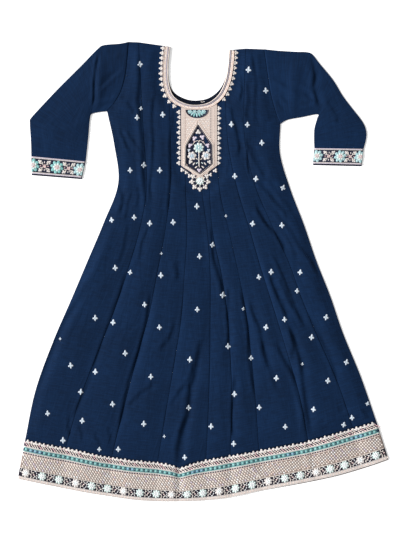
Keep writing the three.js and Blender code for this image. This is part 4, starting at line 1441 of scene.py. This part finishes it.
def chart_flower_row(work):
    """Blossoms with a branch of leaves in each gap, over a smooth satin stitched edge."""
    for k, a in enumerate(BLOSSOMS):
        work.flower(a, ROW_MIDDLE, 12.4, 8, "pearl" if k % 3 == 0 else "mint", "white", 0.3 * k)
        work.flower(a, ROW_MIDDLE, 7.4, 6, "white", "mint", 0.2 * k, 0.7, 0.7)
    places = [BLOSSOMS[0] - BLOSSOM_PITCH] + BLOSSOMS + [BLOSSOMS[-1] + BLOSSOM_PITCH]
    for k in range(len(places) - 1):
        middle = (places[k] + places[k + 1]) / 2
        sway = 1 if k % 2 else -1
        t = np.linspace(-1, 1, 9)
        branch = np.column_stack([middle + 8.5 * t, ROW_MIDDLE + 5.0 * sway * np.sin(2.4 * t)])
        kept = (branch[:, 0] > 2) & (branch[:, 0] < BORDER_LONG - 2)
        work.cord(branch[kept], 0.7, "cream")
        for turn, far, deep in BRANCH_LEAVES:
            if not 4 < middle + far < BORDER_LONG - 4:
                continue
            tone = "pink" if far == 0.2 else ("white" if far > 0 else "cream")
            leaf = oval(middle + far, ROW_MIDDLE + deep * sway, 6.4, 3.3, turn * sway, 0.4)
            work.pad(leaf, tone, 0.7, turn)
    for k in range(int(BORDER_LONG / SATIN_PITCH)):
        stitch = oval(3 + SATIN_PITCH * k, 100.3, 6.6, 2.8, math.pi / 2 + 0.2, 0, 6)
        work.pad(stitch, "pearl" if k % 3 else "peach", 0.35, 0.2)


# %% Sew the border, front and back
BACK_RELIEF = 0.35


def border_place(points):
    return border_surface(points[:, 0] / BORDER_LONG, points[:, 1] / BORDER_DEEP, points[:, 2])[0]


def border_place_below(points):
    share = points[:, 1] / BORDER_DEEP
    placed = border_surface(1 - points[:, 0] / BORDER_LONG, share, 0)[0]
    placed[:, 1] -= lower_behind(placed[:, 0], share)
    placed[:, 2] = BACK_UNDER - points[:, 2] * BACK_RELIEF
    return placed


BORDER_CHARTS = (chart_peaks, chart_net, chart_lines, chart_ribbon, chart_hatch)
border_stitches = sew("stitches_border_front", border_place, *BORDER_CHARTS)
flower_row = sew("stitches_flower_row_front", border_place, chart_flower_row)
hidden_stitches = sew("stitches_border_back", border_place_below, *BORDER_CHARTS, chart_flower_row)

# %% [markdown]
# ## Embroidery of the cuffs
# Each cuff has two lines with large blossoms and forked sprays between them on an ink ground.
# The blossoms are aqua on one sleeve and paler on the other, as the thread was changed.

# %% Chart of a cuff
CUFF_WIDE, CUFF_DEEP, CUFF_MIDDLE = 136.0, 44.0, 22
CUFF_LINES = ((1.4, 1.3, "lilac"), (3.6, 0.8, "cream"), (40.0, 0.8, "cream"), (42.2, 1.3, "lilac"))
CUFF_CHARTS = {
    "left": dict(blossoms=[(4, 22, "aqua"), (67, 22, "aqua"), (127, 23, "ice")], sprays=[34, 97]),
    "right": dict(blossoms=[(127, 22, "ice"), (62, 22, "ice"), (6, 22, "ice")], sprays=[94, 34]),
}


def chart_spray(work, a):
    """Four forked stems with a trefoil at each tip, leaves between them and a flower in the middle."""
    middle = np.array([a, float(CUFF_MIDDLE)])
    for aside, down in ((-11.5, -10.5), (11.5, -10.5), (-11.0, 10.5), (11.0, 10.5)):
        tip = middle + (aside, down)
        turn = math.atan2(down, aside)
        work.cord(blend(middle, tip, np.linspace(0, 1, 6)[:, None]), 0.7, "cream")
        work.trefoil(*tip, 11.5, turn, "pearl", 0.8)
        for share, off, colour in ((0.45, 0.9, "pearl"), (0.6, -0.9, "cream")):
            x, y = blend(middle, tip, share) + 3.2 * ray(turn + off)
            work.pad(oval(x, y, 7.0, 3.2, turn + off * 0.8, 0.4), colour, 0.7, turn)
    for far in (-10, 10):
        work.pad(oval(a, CUFF_MIDDLE + far, 6.5, 3.6, math.pi / 2, 0.4), "pearl", 0.7)
        work.pad(oval(a + far, CUFF_MIDDLE, 5.5, 3.2, 0.0, 0.4), "pink", 0.7)
    work.flower(a, CUFF_MIDDLE, 5.4, 5, "pink", "peach", 0.1)


def chart_cuff(work, blossoms, sprays):
    work.lines(CUFF_LINES, CUFF_WIDE, 0.5, 40)
    for a, b, colour in blossoms:
        work.flower(a, b, 18.5, 8, colour, colour, 0.2)
        work.flower(a, b, 11.5, 7, "mint", "aqua", 0.5, 0.7, 0.8)
        work.flower(a, b, 6.0, 5, "pink", "white", 0.5, 0.7, 1.4)
    for a in sprays:
        chart_spray(work, a)


def cuff_place(side, below):
    def place(points):
        u = np.clip(points[:, 0] / CUFF_WIDE, 0.004, 0.996)
        v = points[:, 1] / CUFF_DEEP
        if not below:
            return np.column_stack([cuff_flat(side, u, v), cuff_height(u) + points[:, 2]])
        flat = cuff_flat(side, 1 - u, v) - np.column_stack([0 * v, v * CUFF_DROP])
        return np.column_stack([flat, BACK_UNDER - points[:, 2] * 0.25])

    return place


cuff_stitches = {}
for side, chart in CUFF_CHARTS.items():
    for layer in ("top", "under"):
        cuff_stitches[side, layer] = sew(f"stitches_cuff_{side}_{layer}", cuff_place(side, layer == "under"),
                                         lambda work: chart_cuff(work, **chart))

# %% [markdown]
# ## The neck band
# A band of dense stitching binds the neckline. Its inner edge is turned over the cloth, two dark
# lines run near it, and small trefoils stand round its outer edge.

# %% Points round the neck
def neck_place(share, away):
    """Points at a distance outside the neck edge, for shares of its length."""
    share = np.atleast_1d(np.asarray(share, float))
    step = 0.002
    tangent = neck_edge(np.clip(share + step, 0, 1)) - neck_edge(np.clip(share - step, 0, 1))
    tangent /= np.hypot(*tangent.T)[:, None]
    normal = np.column_stack([tangent[:, 1], -tangent[:, 0]])
    return neck_edge(share) + normal * np.asarray(away, float).reshape(-1, 1)


BAND_WIDE = 15.0
BAND_FOOT = 2.78
PLATE_TOP = 4.1
PLATE_LIFT = PLATE_TOP - FRONT_TOP
# Columns: how far outside the neck edge, and how high the band's face lies there
BAND_PROFILE = np.array([(0.2, 2.85), (0.5, 3.4), (1.2, 3.85), (2.4, 4.0), (5.0, 4.0), (8.0, 4.0),
                         (11.0, 4.0), (13.6, 3.9), (14.6, 3.5), (15.0, 2.95)])


def narrowed(share, away):
    """The band is drawn in where it crosses the top of the placket."""
    share = np.asarray(share, float)
    return np.asarray(away, float) * (1 - 0.24 * np.exp(-((share - 0.5) / 0.1) ** 2))


def build_neck_band():
    shares = np.linspace(0.002, 0.998, 181)
    over = []
    for away, top in BAND_PROFILE:
        flat = neck_place(shares, narrowed(shares, away))
        over.append(np.column_stack([flat, np.full(len(shares), top)]))
    over = np.array(over)
    under = over.copy()
    under[..., 2] = BAND_FOOT
    uv = np.dstack(np.meshgrid(shares * neck_length, BAND_PROFILE[:, 0]))
    return sheet_piece("band_neck", over, under, uv, threads["peach"])


neck_band = build_neck_band()
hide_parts("neck_band")

# %% Stitches of the neck band
NECK_LINES = ((2.0, 0.9, "cream"), (4.2, 0.5, "ink"), (6.6, 0.45, "ink"), (5.4, 0.8, "lilac"),
              (14.2, 0.8, "peach"))
BAND_TONES = ("cream", "peach", "cream", "white")
BAND_PITCH, TREFOIL_PITCH = 3.4, 14.6
TREFOIL_AWAY = 4.4


def steps_round_neck(long, pitch):
    """Shares of the neckline at equal steps, with the step's number and the edge's point there."""
    count = int(long / pitch)
    for k in range(count):
        share = (k + 0.5) / count
        yield k, share, neck_place(share, 0.0)[0]


def turn_from(inner, outer):
    return math.atan2(*(outer - inner)[::-1])


def beside_placket(point):
    return -72 < point[0] < 51 and point[1] < 464


def chart_neck(work):
    shares = np.linspace(0.004, 0.996, 150)
    for away, thick, colour in NECK_LINES:
        work.cord(neck_place(shares, narrowed(shares, away)), thick, colour, PLATE_LIFT - 0.2)
    for k, share, inner in steps_round_neck(neck_length, BAND_PITCH):
        middle = neck_place(share, narrowed(share, 10.6))[0]
        turn = turn_from(inner, middle) + 0.35
        work.pad(oval(*middle, 6.0, 2.5, turn, 0, 6), BAND_TONES[k % 4], 0.5, turn, PLATE_LIFT - 0.15)
    for k, share, inner in steps_round_neck(neck_length * 1.12, TREFOIL_PITCH):
        if beside_placket(neck_place(share, BAND_WIDE)[0]):
            continue
        outer = neck_place(share, BAND_WIDE + TREFOIL_AWAY)[0]
        work.trefoil(*outer, 13.4 if k % 2 else 12.4, turn_from(inner, outer), "pearl", 1.0, 0.1)
        work.cord(neck_place([share, share], [BAND_WIDE - 1, BAND_WIDE + 4]), 1.1, "cream")


neck_stitches = sew("stitches_neck", on_front, chart_neck)

# %% [markdown]
# ## The placket
# The front panel of stitching hangs from the neck band to a point. It has two windows where the
# ink ground shows: a half moon at the top and a long lozenge. A flat curve with holes, given a
# thickness and a small bevel, makes the plate, and the windows come out with round edges.

# %% Outline of the placket
LEFT, RIGHT, CORNER, TIP = -59.0, 38.0, 285.0, (-8.0, 222.0)
LOZENGE = [(-13, 392), (-44, 337), (-45, 287), (-8, 264), (24, 290), (23, 340)]
MOON = dict(x=-16.0, y=435.5, half=29.5, deep=21.0)
MEDALLION = np.array([-8.0, 244.0])


def moon_outline(grow=0.0, steps=14):
    a = np.linspace(math.pi, 2 * math.pi, steps)
    return np.column_stack([MOON["x"] + (MOON["half"] + grow) * np.cos(a),
                            MOON["y"] + grow * 0.3 + (MOON["deep"] + grow) * np.sin(a)])


def placket_outline():
    shares = np.linspace(0.2, 0.8, 61)
    top = neck_place(shares, narrowed(shares, BAND_WIDE) + 0.4)
    top = top[(top[:, 0] > LEFT) & (top[:, 0] < RIGHT) & (top[:, 1] < 470)]
    turn = np.linspace(0.75, -3.9, 15)
    ring = np.column_stack([TIP[0] + 11 * np.cos(turn), 250 + 11 * np.sin(turn)])
    right_side = [(RIGHT, top[-1, 1]), (RIGHT, CORNER)]
    return np.concatenate([[(LEFT, top[0, 1])], top, right_side, ring, [(LEFT, CORNER)]])


def medallion_outline():
    lobes = np.linspace(0, 2 * math.pi, 57)[:-1]
    reach = 24 + 3 * np.cos(7 * lobes + 0.6)
    return np.column_stack([MEDALLION[0] + reach * np.cos(lobes), MEDALLION[1] + reach * np.sin(lobes)])


# %% Plates cut from outlines
plate_ground = woven_finish("ground of the placket", dye(202, 186, 177), dye(220, 204, 195),
                            roughness=0.8, shine=0.12, sheen=0.05, weave=0.1)


def plate_piece(name, outlines, low, high, bevel, finish):
    """A flat plate from closed outlines, the later ones being holes."""
    curve = bpy.data.curves.new(name, "CURVE")
    curve.dimensions = "2D"
    curve.fill_mode = "BOTH"
    curve.extrude = (high - low) / 2 * MM - bevel * MM
    curve.bevel_depth = bevel * MM
    curve.bevel_resolution = 2
    curve.offset = -bevel * MM
    for outline in outlines:
        spline = curve.splines.new("POLY")
        spline.points.add(len(outline) - 1)
        for point, (x, y) in zip(spline.points, outline):
            point.co = (x * MM, (y + SHIFT[1]) * MM, 0, 1)
        spline.use_cyclic_u = True
    shape = show(name + "_curve", curve)
    mesh = bpy.data.meshes.new_from_object(shape.evaluated_get(bpy.context.evaluated_depsgraph_get()))
    bpy.data.objects.remove(shape)
    mesh.name = name
    points = np.zeros(len(mesh.vertices) * 3)
    mesh.vertices.foreach_get("co", points)
    points = points.reshape(-1, 3)
    points[:, 2] += (low + high) / 2 * MM
    mesh.vertices.foreach_set("co", points.ravel())
    lay_uv(mesh, points[:, :2])
    mesh.materials.clear()
    mesh.materials.append(finish)
    return show(name, mesh)


def ink_plate(name, outline, low=2.5, high=2.85):
    return plate_piece(name, [outline], low, high, 0.05, ink_ground)


placket = plate_piece("band_placket", [placket_outline(), LOZENGE, moon_outline()], 2.8, PLATE_TOP, 0.35,
                      plate_ground)
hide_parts("placket")
windows = ink_plate("ground_windows", [(-47, 395), (26, 395), (26, 262), (-47, 262)])
medallion_ground = ink_plate("ground_medallion", medallion_outline(), 2.6, 3.0)
moon_ground = ink_plate("ground_moon", moon_outline(2.0))
print("placket faces:", len(placket.data.polygons))

# %% Stitches of the placket
def along(first, last, step):
    first, last = np.array(first, float), np.array(last, float)
    count = max(1, int(round(np.hypot(*(last - first)) / step)))
    return [blend(first, last, (k + 0.5) / count) for k in range(count)]


PLATE_TONES = ("cream", "peach", "cream", "white", "cream")
AXIS = -11
# Columns: start and end of an edge, and the way that its trefoils point
PLATE_EDGES = (((LEFT, 436), (LEFT, CORNER), math.pi), ((RIGHT, 446), (RIGHT, CORNER), 0.0),
               ((LEFT + 2, CORNER - 3), (-27, 258), -2.2), ((RIGHT - 2, CORNER - 3), (11, 258), -0.9))
# Columns: across, top, thread and size of each line of beads down the sides
PLATE_BEADS = ((21, 440, "ink", 2.2), (-47.3, 434, "brown", 1.7), (30, 440, "peach", 2.4),
               (-53, 434, "cream", 2.4))
PLATE_SLANTS = (((LEFT + 14, 286), (-24, 262)), ((RIGHT - 14, 286), (8, 262)),
                ((LEFT + 7, 300), (-27, 262)), ((RIGHT - 7, 300), (11, 262)))
ON_PLATE = PLATE_LIFT - 0.1


def chart_edges(work):
    for first, last, turn in PLATE_EDGES:
        for k, point in enumerate(along(first, last, 13.9)):
            out, size = (5.0, 13.6) if k % 2 == 0 else (3.8, 11.4)
            work.trefoil(*(point + out * ray(turn)), size, turn, "pearl", 1.0, 0.1)
    ring = np.array(LOZENGE + LOZENGE[:1], float)
    middle = ring[:-1].mean(0)
    for grow, thick, colour in ((1.03, 0.9, "ink"), (1.12, 0.9, "cream"), (1.2, 0.7, "peach")):
        path = middle + (ring - middle) * grow
        dense = np.concatenate([blend(a, b, np.linspace(0, 1, 8, endpoint=False)[:, None])
                                for a, b in zip(path[:-1], path[1:])])
        work.cord(np.concatenate([dense, dense[:1]]), thick, colour, PLATE_LIFT - 0.2)
    work.cord(moon_outline(1.2, 24), 0.8, "ink", PLATE_LIFT - 0.2)
    for x, top, colour, size in PLATE_BEADS:
        for _, y in along((x, top), (x, CORNER + 2), 4.2):
            work.pad(oval(x, y, size * 1.3, size, math.pi / 2), colour, 0.6, 0.0, ON_PLATE)


def in_a_window(x, y):
    moon = abs(x - MOON["x"]) < MOON["half"] + 2 and MOON["y"] - 23 < y < MOON["y"] + 3
    return moon or (y < 398 and abs(x - AXIS) < min((398 - y) * 0.58 + 4, 40))


def chart_filling(work):
    """Herringbone: the stitches lean away from the plate's axis on both sides."""
    for row in range(25):
        for column in range(16):
            x, y = -43 + 4.0 * column + 2.0 * (row % 2), 432 - 5.6 * row
            if in_a_window(x, y) or x > 17:
                continue
            turn = 0.9 if x > AXIS else -0.9
            tone = PLATE_TONES[(row * 2 + column) % 5]
            work.pad(oval(x, y, 6.2, 2.5, turn, 0.2, 6), tone, 0.5, turn, ON_PLATE)
    for first, last in PLATE_SLANTS:
        for k, (x, y) in enumerate(along(first, last, 4.4)):
            turn = 0.9 if x > AXIS else -0.9
            work.pad(oval(x, y, 6.0, 2.6, turn, 0.2, 6), "cream" if k % 3 else "peach", 0.5, turn, ON_PLATE)


placket_stitches = sew("stitches_placket", on_front, chart_edges, chart_filling)

# %% [markdown]
# ## Flowers in the windows
# A plant grows in the lozenge: a mint rose in the middle, two pale ones below it, buds round the
# edge. The half moon holds a fan of aqua petals. The roses are their own pieces, the rest is joined.

# %% Flowers that replace the frame's discs
WINDOW_BASE = 0.2


def rose(name, node, x, y, reach, petals, tones, base=WINDOW_BASE):
    def chart_rose(work):
        work.flower(x, y, reach, petals, tones[0], tones[1], 0.2, 0.8, base)
        work.flower(x, y, reach * 0.62, petals - 1, tones[1], tones[2], 0.5, 0.8, base + 0.45)

    made = sew(name, on_front, chart_rose)
    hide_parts(node)
    return made


roses = [
    rose("rose_centre", "placket_flower_centre", -11, 333, 15.0, 8, ("mint", "ice", "white")),
    rose("rose_left", "placket_flower_left", -29.5, 311, 13.2, 6, ("pearl", "frost", "ice")),
    rose("rose_right", "placket_flower_right", 9, 312, 13.2, 6, ("pearl", "frost", "ice")),
    rose("rose_medallion", "medallion_flower", *MEDALLION, 12.5, 8, ("mint", "white", "ice"), 0.9),
]

# %% Buds, leaves and the fan
UP = math.pi / 2
# The same on the left and the right. Columns: middle, how far aside, up, length, width (none for a
# trefoil), turn, its lean to the side, how far the leaf narrows, thread and rise
PLANT = [
    (-11, 23, 339, 14, None, UP, -0.8, 0.0, "lilac", 0.8),
    (-9, 15, 290, 11, 5.6, UP, 0.7, 0.5, "pearl", 0.8),
    (-9, 9, 281, 10, 5.2, UP, 0.9, 0.5, "cream", 0.8),
    (-9, 7, 292, 8, 4.0, UP, 0.9, 0.5, "mint", 0.7),
    (-8, 25, 294, 12.5, None, UP, -0.6, 0.0, "pearl", 0.8),
    (-10, 6, 303, 8, 3.4, 0.0, 0.7, 0.4, "cream", 0.7),
    (-11, 26, 326, 10, None, UP, -1.0, 0.0, "frost", 0.7),
    (-11, 12, 349, 6, 3.2, 0.0, 0.9, 0.3, "pink", 0.7),
]


def chart_plant(work):
    work.trefoil(-12.5, 374.5, 16, UP, "pearl", 0.8, WINDOW_BASE)
    for x, y, turn in ((-22, 358, 2.4), (-2, 361, 0.7)):
        work.trefoil(x, y, 15, turn, "lilac", 0.8, WINDOW_BASE)
    for side in (-1, 1):
        t = np.linspace(0.0, 1.3, 8)
        arc = np.column_stack([AXIS + side * 17 * np.sin(t), 334 + 18.5 * np.cos(t * 0.9)])
        work.cord(arc, 0.8, "cream", WINDOW_BASE)
        for middle, aside, y, long, wide, turn, lean, tip, colour, rise in PLANT:
            x, turn = middle + side * aside, turn + side * lean
            if wide is None:
                work.trefoil(x, y, long, turn, colour, rise, WINDOW_BASE)
            else:
                work.pad(oval(x, y, long, wide, turn, tip), colour, rise, 0, WINDOW_BASE)
    work.cord([(-11, 320), (-10.5, 306), (-10.5, 292), (-9.5, 280)], 1.3, "pearl", WINDOW_BASE)
    for _, y in along((-11, 352), (-10, 284), 4.2):
        work.pad(oval(-10.6, y, 5.0, 2.4), "cream", 0.9, 0, WINDOW_BASE + 0.4)
    work.trefoil(-9.5, 273.5, 13.5, -UP, "lilac", 0.8, WINDOW_BASE)


def chart_fan(work):
    for k in range(9):
        a = math.pi * (1.03 + 0.94 * k / 8)
        x, y = MOON["x"] + 18.5 * math.cos(a), MOON["y"] - 2.5 + 11.5 * math.sin(a)
        work.pad(oval(x, y, 13.5, 6.6, a, 0.2), "aqua" if k % 2 else "ice", 0.9, a, WINDOW_BASE)
    for k in (-1.5, -0.5, 0.5, 1.5):
        work.flower(MOON["x"] + 12.5 * k, MOON["y"] - 5.5, 6.2, 6, "ice", "mint", 0.1, 0.8, WINDOW_BASE + 0.3)


def chart_medallion(work):
    """Seven pale trefoils stand round the rose like rays, each on a short stem."""
    for k in range(7):
        a = math.radians(34 - 41.3 * k)
        work.cord([MEDALLION + 11 * ray(a), MEDALLION + 19 * ray(a)], 1.2, "pearl", 0.4)
        work.trefoil(*(MEDALLION + 21.5 * ray(a)), 15.0, a, "pearl", 1.1, 0.4)


window_stitches = sew("stitches_windows", on_front, chart_plant, chart_fan)
medallion_stitches = sew("stitches_medallion", on_front, chart_medallion)

# %% [markdown]
# ## Small flowers scattered on the cloth
# Each is a sprig of four pale petals. They lie on the folds, so each of their points is dropped
# onto the cloth below it. A tree of the cloth's faces answers those drops quickly.

# %% Dropping points onto the front
def faces_below(pieces):
    points, faces = [], []
    for piece in pieces:
        shift = len(points)
        points += [vertex.co.copy() for vertex in piece.data.vertices]
        faces += [[i + shift for i in face.vertices] for face in piece.data.polygons]
    return BVHTree.FromPolygons(points, faces)


cloth_tree = faces_below(front.values())


def drop(points):
    """Sets points on the cloth under them; a point just outside takes the nearest cloth's height."""
    heights = []
    for x, y, _ in points + SHIFT:
        hit = cloth_tree.ray_cast(Vector((x * MM, y * MM, 0.05)), Vector((0, 0, -1)))[0]
        if hit is None:
            hit = cloth_tree.find_nearest(Vector((x * MM, y * MM, FRONT_TOP * MM)))[0]
        heights.append(hit.z / MM)
    return np.column_stack([points[:, :2], points[:, 2] + heights])


# Columns: across, up, size of the motif, turn in degrees
BUTIS = [
    (-169, 558, 16, 8), (-167, 439, 11, -10), (-177, 414, 15, 0), (-108, 422, 16, 5), (-159, 286, 16, -6),
    (-196, 272, 15, 4), (-116, 272, 16, 0), (123, 543, 17, -8), (170, 487, 16, 6), (77, 396, 16, 0),
    (120, 395, 15, -4), (159, 346, 16, 4), (86, 256, 16, 0), (143, 249, 16, -8), (216, 225, 16, -24),
    (-246, 138, 15, 10), (-185, 145, 15, 0), (-143, 129, 16, -5), (-80, 132, 16, 4), (-16, 175, 16, 0),
    (62, 149, 8, 0), (134, 128, 16, -10), (213, 124, 16, 6), (26, 71, 15, -12), (-236, 9, 16, 6),
    (-196, -3, 14, -12), (-112, 48, 8, 0), (-113, -11, 16, 0), (-9, 40, 15, 5), (151, -16, 15, 12),
    (184, -2, 16, -4), (262, -3, 15, -8), (254, -53, 14, -6), (54, -64, 17, -10), (-157, -90, 15, 4),
    (-15, -103, 15, 0), (109, -101, 10, -14), (-290, -126, 16, 0), (-242, -138, 16, -6), (-117, -151, 15, 5),
    (170, -151, 16, -10), (220, -130, 15, 4), (332, -124, 16, -12), (-385, -182, 8, 0), (293, -178, 16, -8),
    (68, -202, 16, 0), (-209, -221, 16, 4), (-35, -238, 16, -5), (130, -234, 14, 0), (387, -245, 16, -16),
    (268, -250, 9, -10), (-356, -254, 16, 8), (-290, -271, 16, -4), (-140, -284, 15, 0), (198, -288, 16, -6),
    (337, -295, 16, -10), (-329, -325, 16, -6), (85, -331, 16, 0), (-243, -358, 16, 5), (-38, -368, 15, 0),
    (152, -367, 15, 4), (298, -372, 15, -8), (444, -357, 12, -20), (-418, -383, 15, 6), (-325, -403, 16, -8),
    (-159, -411, 16, 0), (22, -418, 16, -4), (222, -419, 15, 0), (380, -414, 15, -12), (402, -395, 15, 8),
    (-377, -456, 17, 0), (-279, -480, 13, -4), (-228, -480, 15, 0), (-104, -445, 9, 0), (-49, -502, 15, 4),
    (83, -465, 16, 0),
]
BUTI_SCALE = 0.94
# Columns as for the trefoil: turn from the upper petal, how far out, length and width
BUTI = ((1.75, 0.25, 0.54, 0.46), (-1.75, 0.25, 0.54, 0.46), (0.0, 0.29, 0.64, 0.48),
        (math.pi, 0.3, 0.56, 0.4))


def sprig(work, x, y, size, degrees, flat=1.0):
    """One petal up, two at the sides and a shorter one below, round a pale heart."""
    size = size * BUTI_SCALE
    work.arms(x, y, math.radians(90 + degrees), size, BUTI, "frost", 0.9 * flat, 0.0, 0.25, 14)
    work.pad(oval(x, y, size * 0.26, size * 0.26), "mint", 1.2 * flat)


# %% Sew the scattered flowers
def chart_butis(work):
    for x, y, size, degrees in BUTIS:
        sprig(work, x, y, size, degrees)


def chart_back_butis(work):
    """The same flowers in mirror order and pressed flatter, clear of the armholes and the sides."""
    for x, y, size, degrees in BUTIS:
        if y < 440 and abs(x) < 400:
            sprig(work, -x * 0.92, y + 6, size, -degrees, 0.4)


butis = sew("stitches_scattered_front", drop, chart_butis)
back_butis = sew("stitches_scattered_back", lambda p: p * [1, 1, -1] + np.array([0, 0, BACK_UNDER]),
                 chart_back_butis)

# %% [markdown]
# ## The loop inside the back neck
# A small thread loop is sewn inside the back of the neck. It peeps over the front neckline.

# %% Loop and its bead
def chart_loop(work):
    turns = np.linspace(0.3, math.pi * 2 - 0.3, 12)
    work.cord(np.column_stack([-2 + 3.4 * np.cos(turns), 457.5 + 1.9 * np.sin(turns)]), 0.45, "cream")
    work.pad(oval(3.4, 457.8, 3.4, 2.6), "white", 1.0)


loop = sew("neck_loop", lambda p: p + np.array([0, 0, BACK_UNDER + LINEN]), chart_loop)

# %% [markdown]
# ## Riding and flat sizes
# Every piece rides on the one body of the frame.

# %% What each piece is to the frame
def ride_and_slot(pieces):
    for piece in pieces:
        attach(piece, "root")


ride_and_slot([*front.values(), *back.values(), *sleeves.values(), loop])
ride_and_slot([*cuffs.values(), *cuff_stitches.values()])
ride_and_slot([*borders.values(), border_stitches, flower_row, hidden_stitches])
ride_and_slot([neck_band, neck_stitches, placket, placket_stitches, windows, moon_ground, medallion_ground])
ride_and_slot([*roses, window_stitches, medallion_stitches, butis, back_butis])

# %% Flat sizes of the sheets
SPARE_LENGTH = 20
LEAST_SHARE = 0.31


def outline_area(outline):
    x, y = np.asarray(outline, float).T
    return abs(np.dot(x, np.roll(y, -1)) - np.dot(y, np.roll(x, -1))) / 2


def declare_gore(piece, panel, neck):
    """A gore is cut as wide as its widest row, and its area is what lies inside its outline."""
    grid = gore_rows(panel, neck, 6, 8, np.linspace(0, 1, 25))[0]
    rim = np.concatenate([grid[0], grid[1:, -1], grid[-1, ::-1][1:], grid[::-1, 0][1:-1]])
    width = max(np.hypot(*(row[-1] - row[0])) for row in grid)
    length = np.hypot(*(grid[0].mean(0) - grid[-1].mean(0)))
    width, length = math.ceil(width) * MM, math.ceil(length + SPARE_LENGTH) * MM
    area = outline_area(rim) * MM * MM
    area = round(min(max(area, LEAST_SHARE * width * length), width * length), 5)
    print(piece.name, "cut", round(width, 3), "x", round(length, 3), "m, area", area, "m2")


for panel in PANELS:
    name = panel[0]
    on_front = [butis] if name == "kali_centre" else []
    declare_gore(front[name], panel, neck_edge)
    declare_gore(back[name], panel, back_neck_edge)

# %% Sleeves, cuffs, borders and bands
SLEEVE_CUT = {"left": (0.395, 0.405, 0.096), "right": (0.395, 0.385, 0.090)}
for side in SLEEVES:
    width, length, area = SLEEVE_CUT[side]
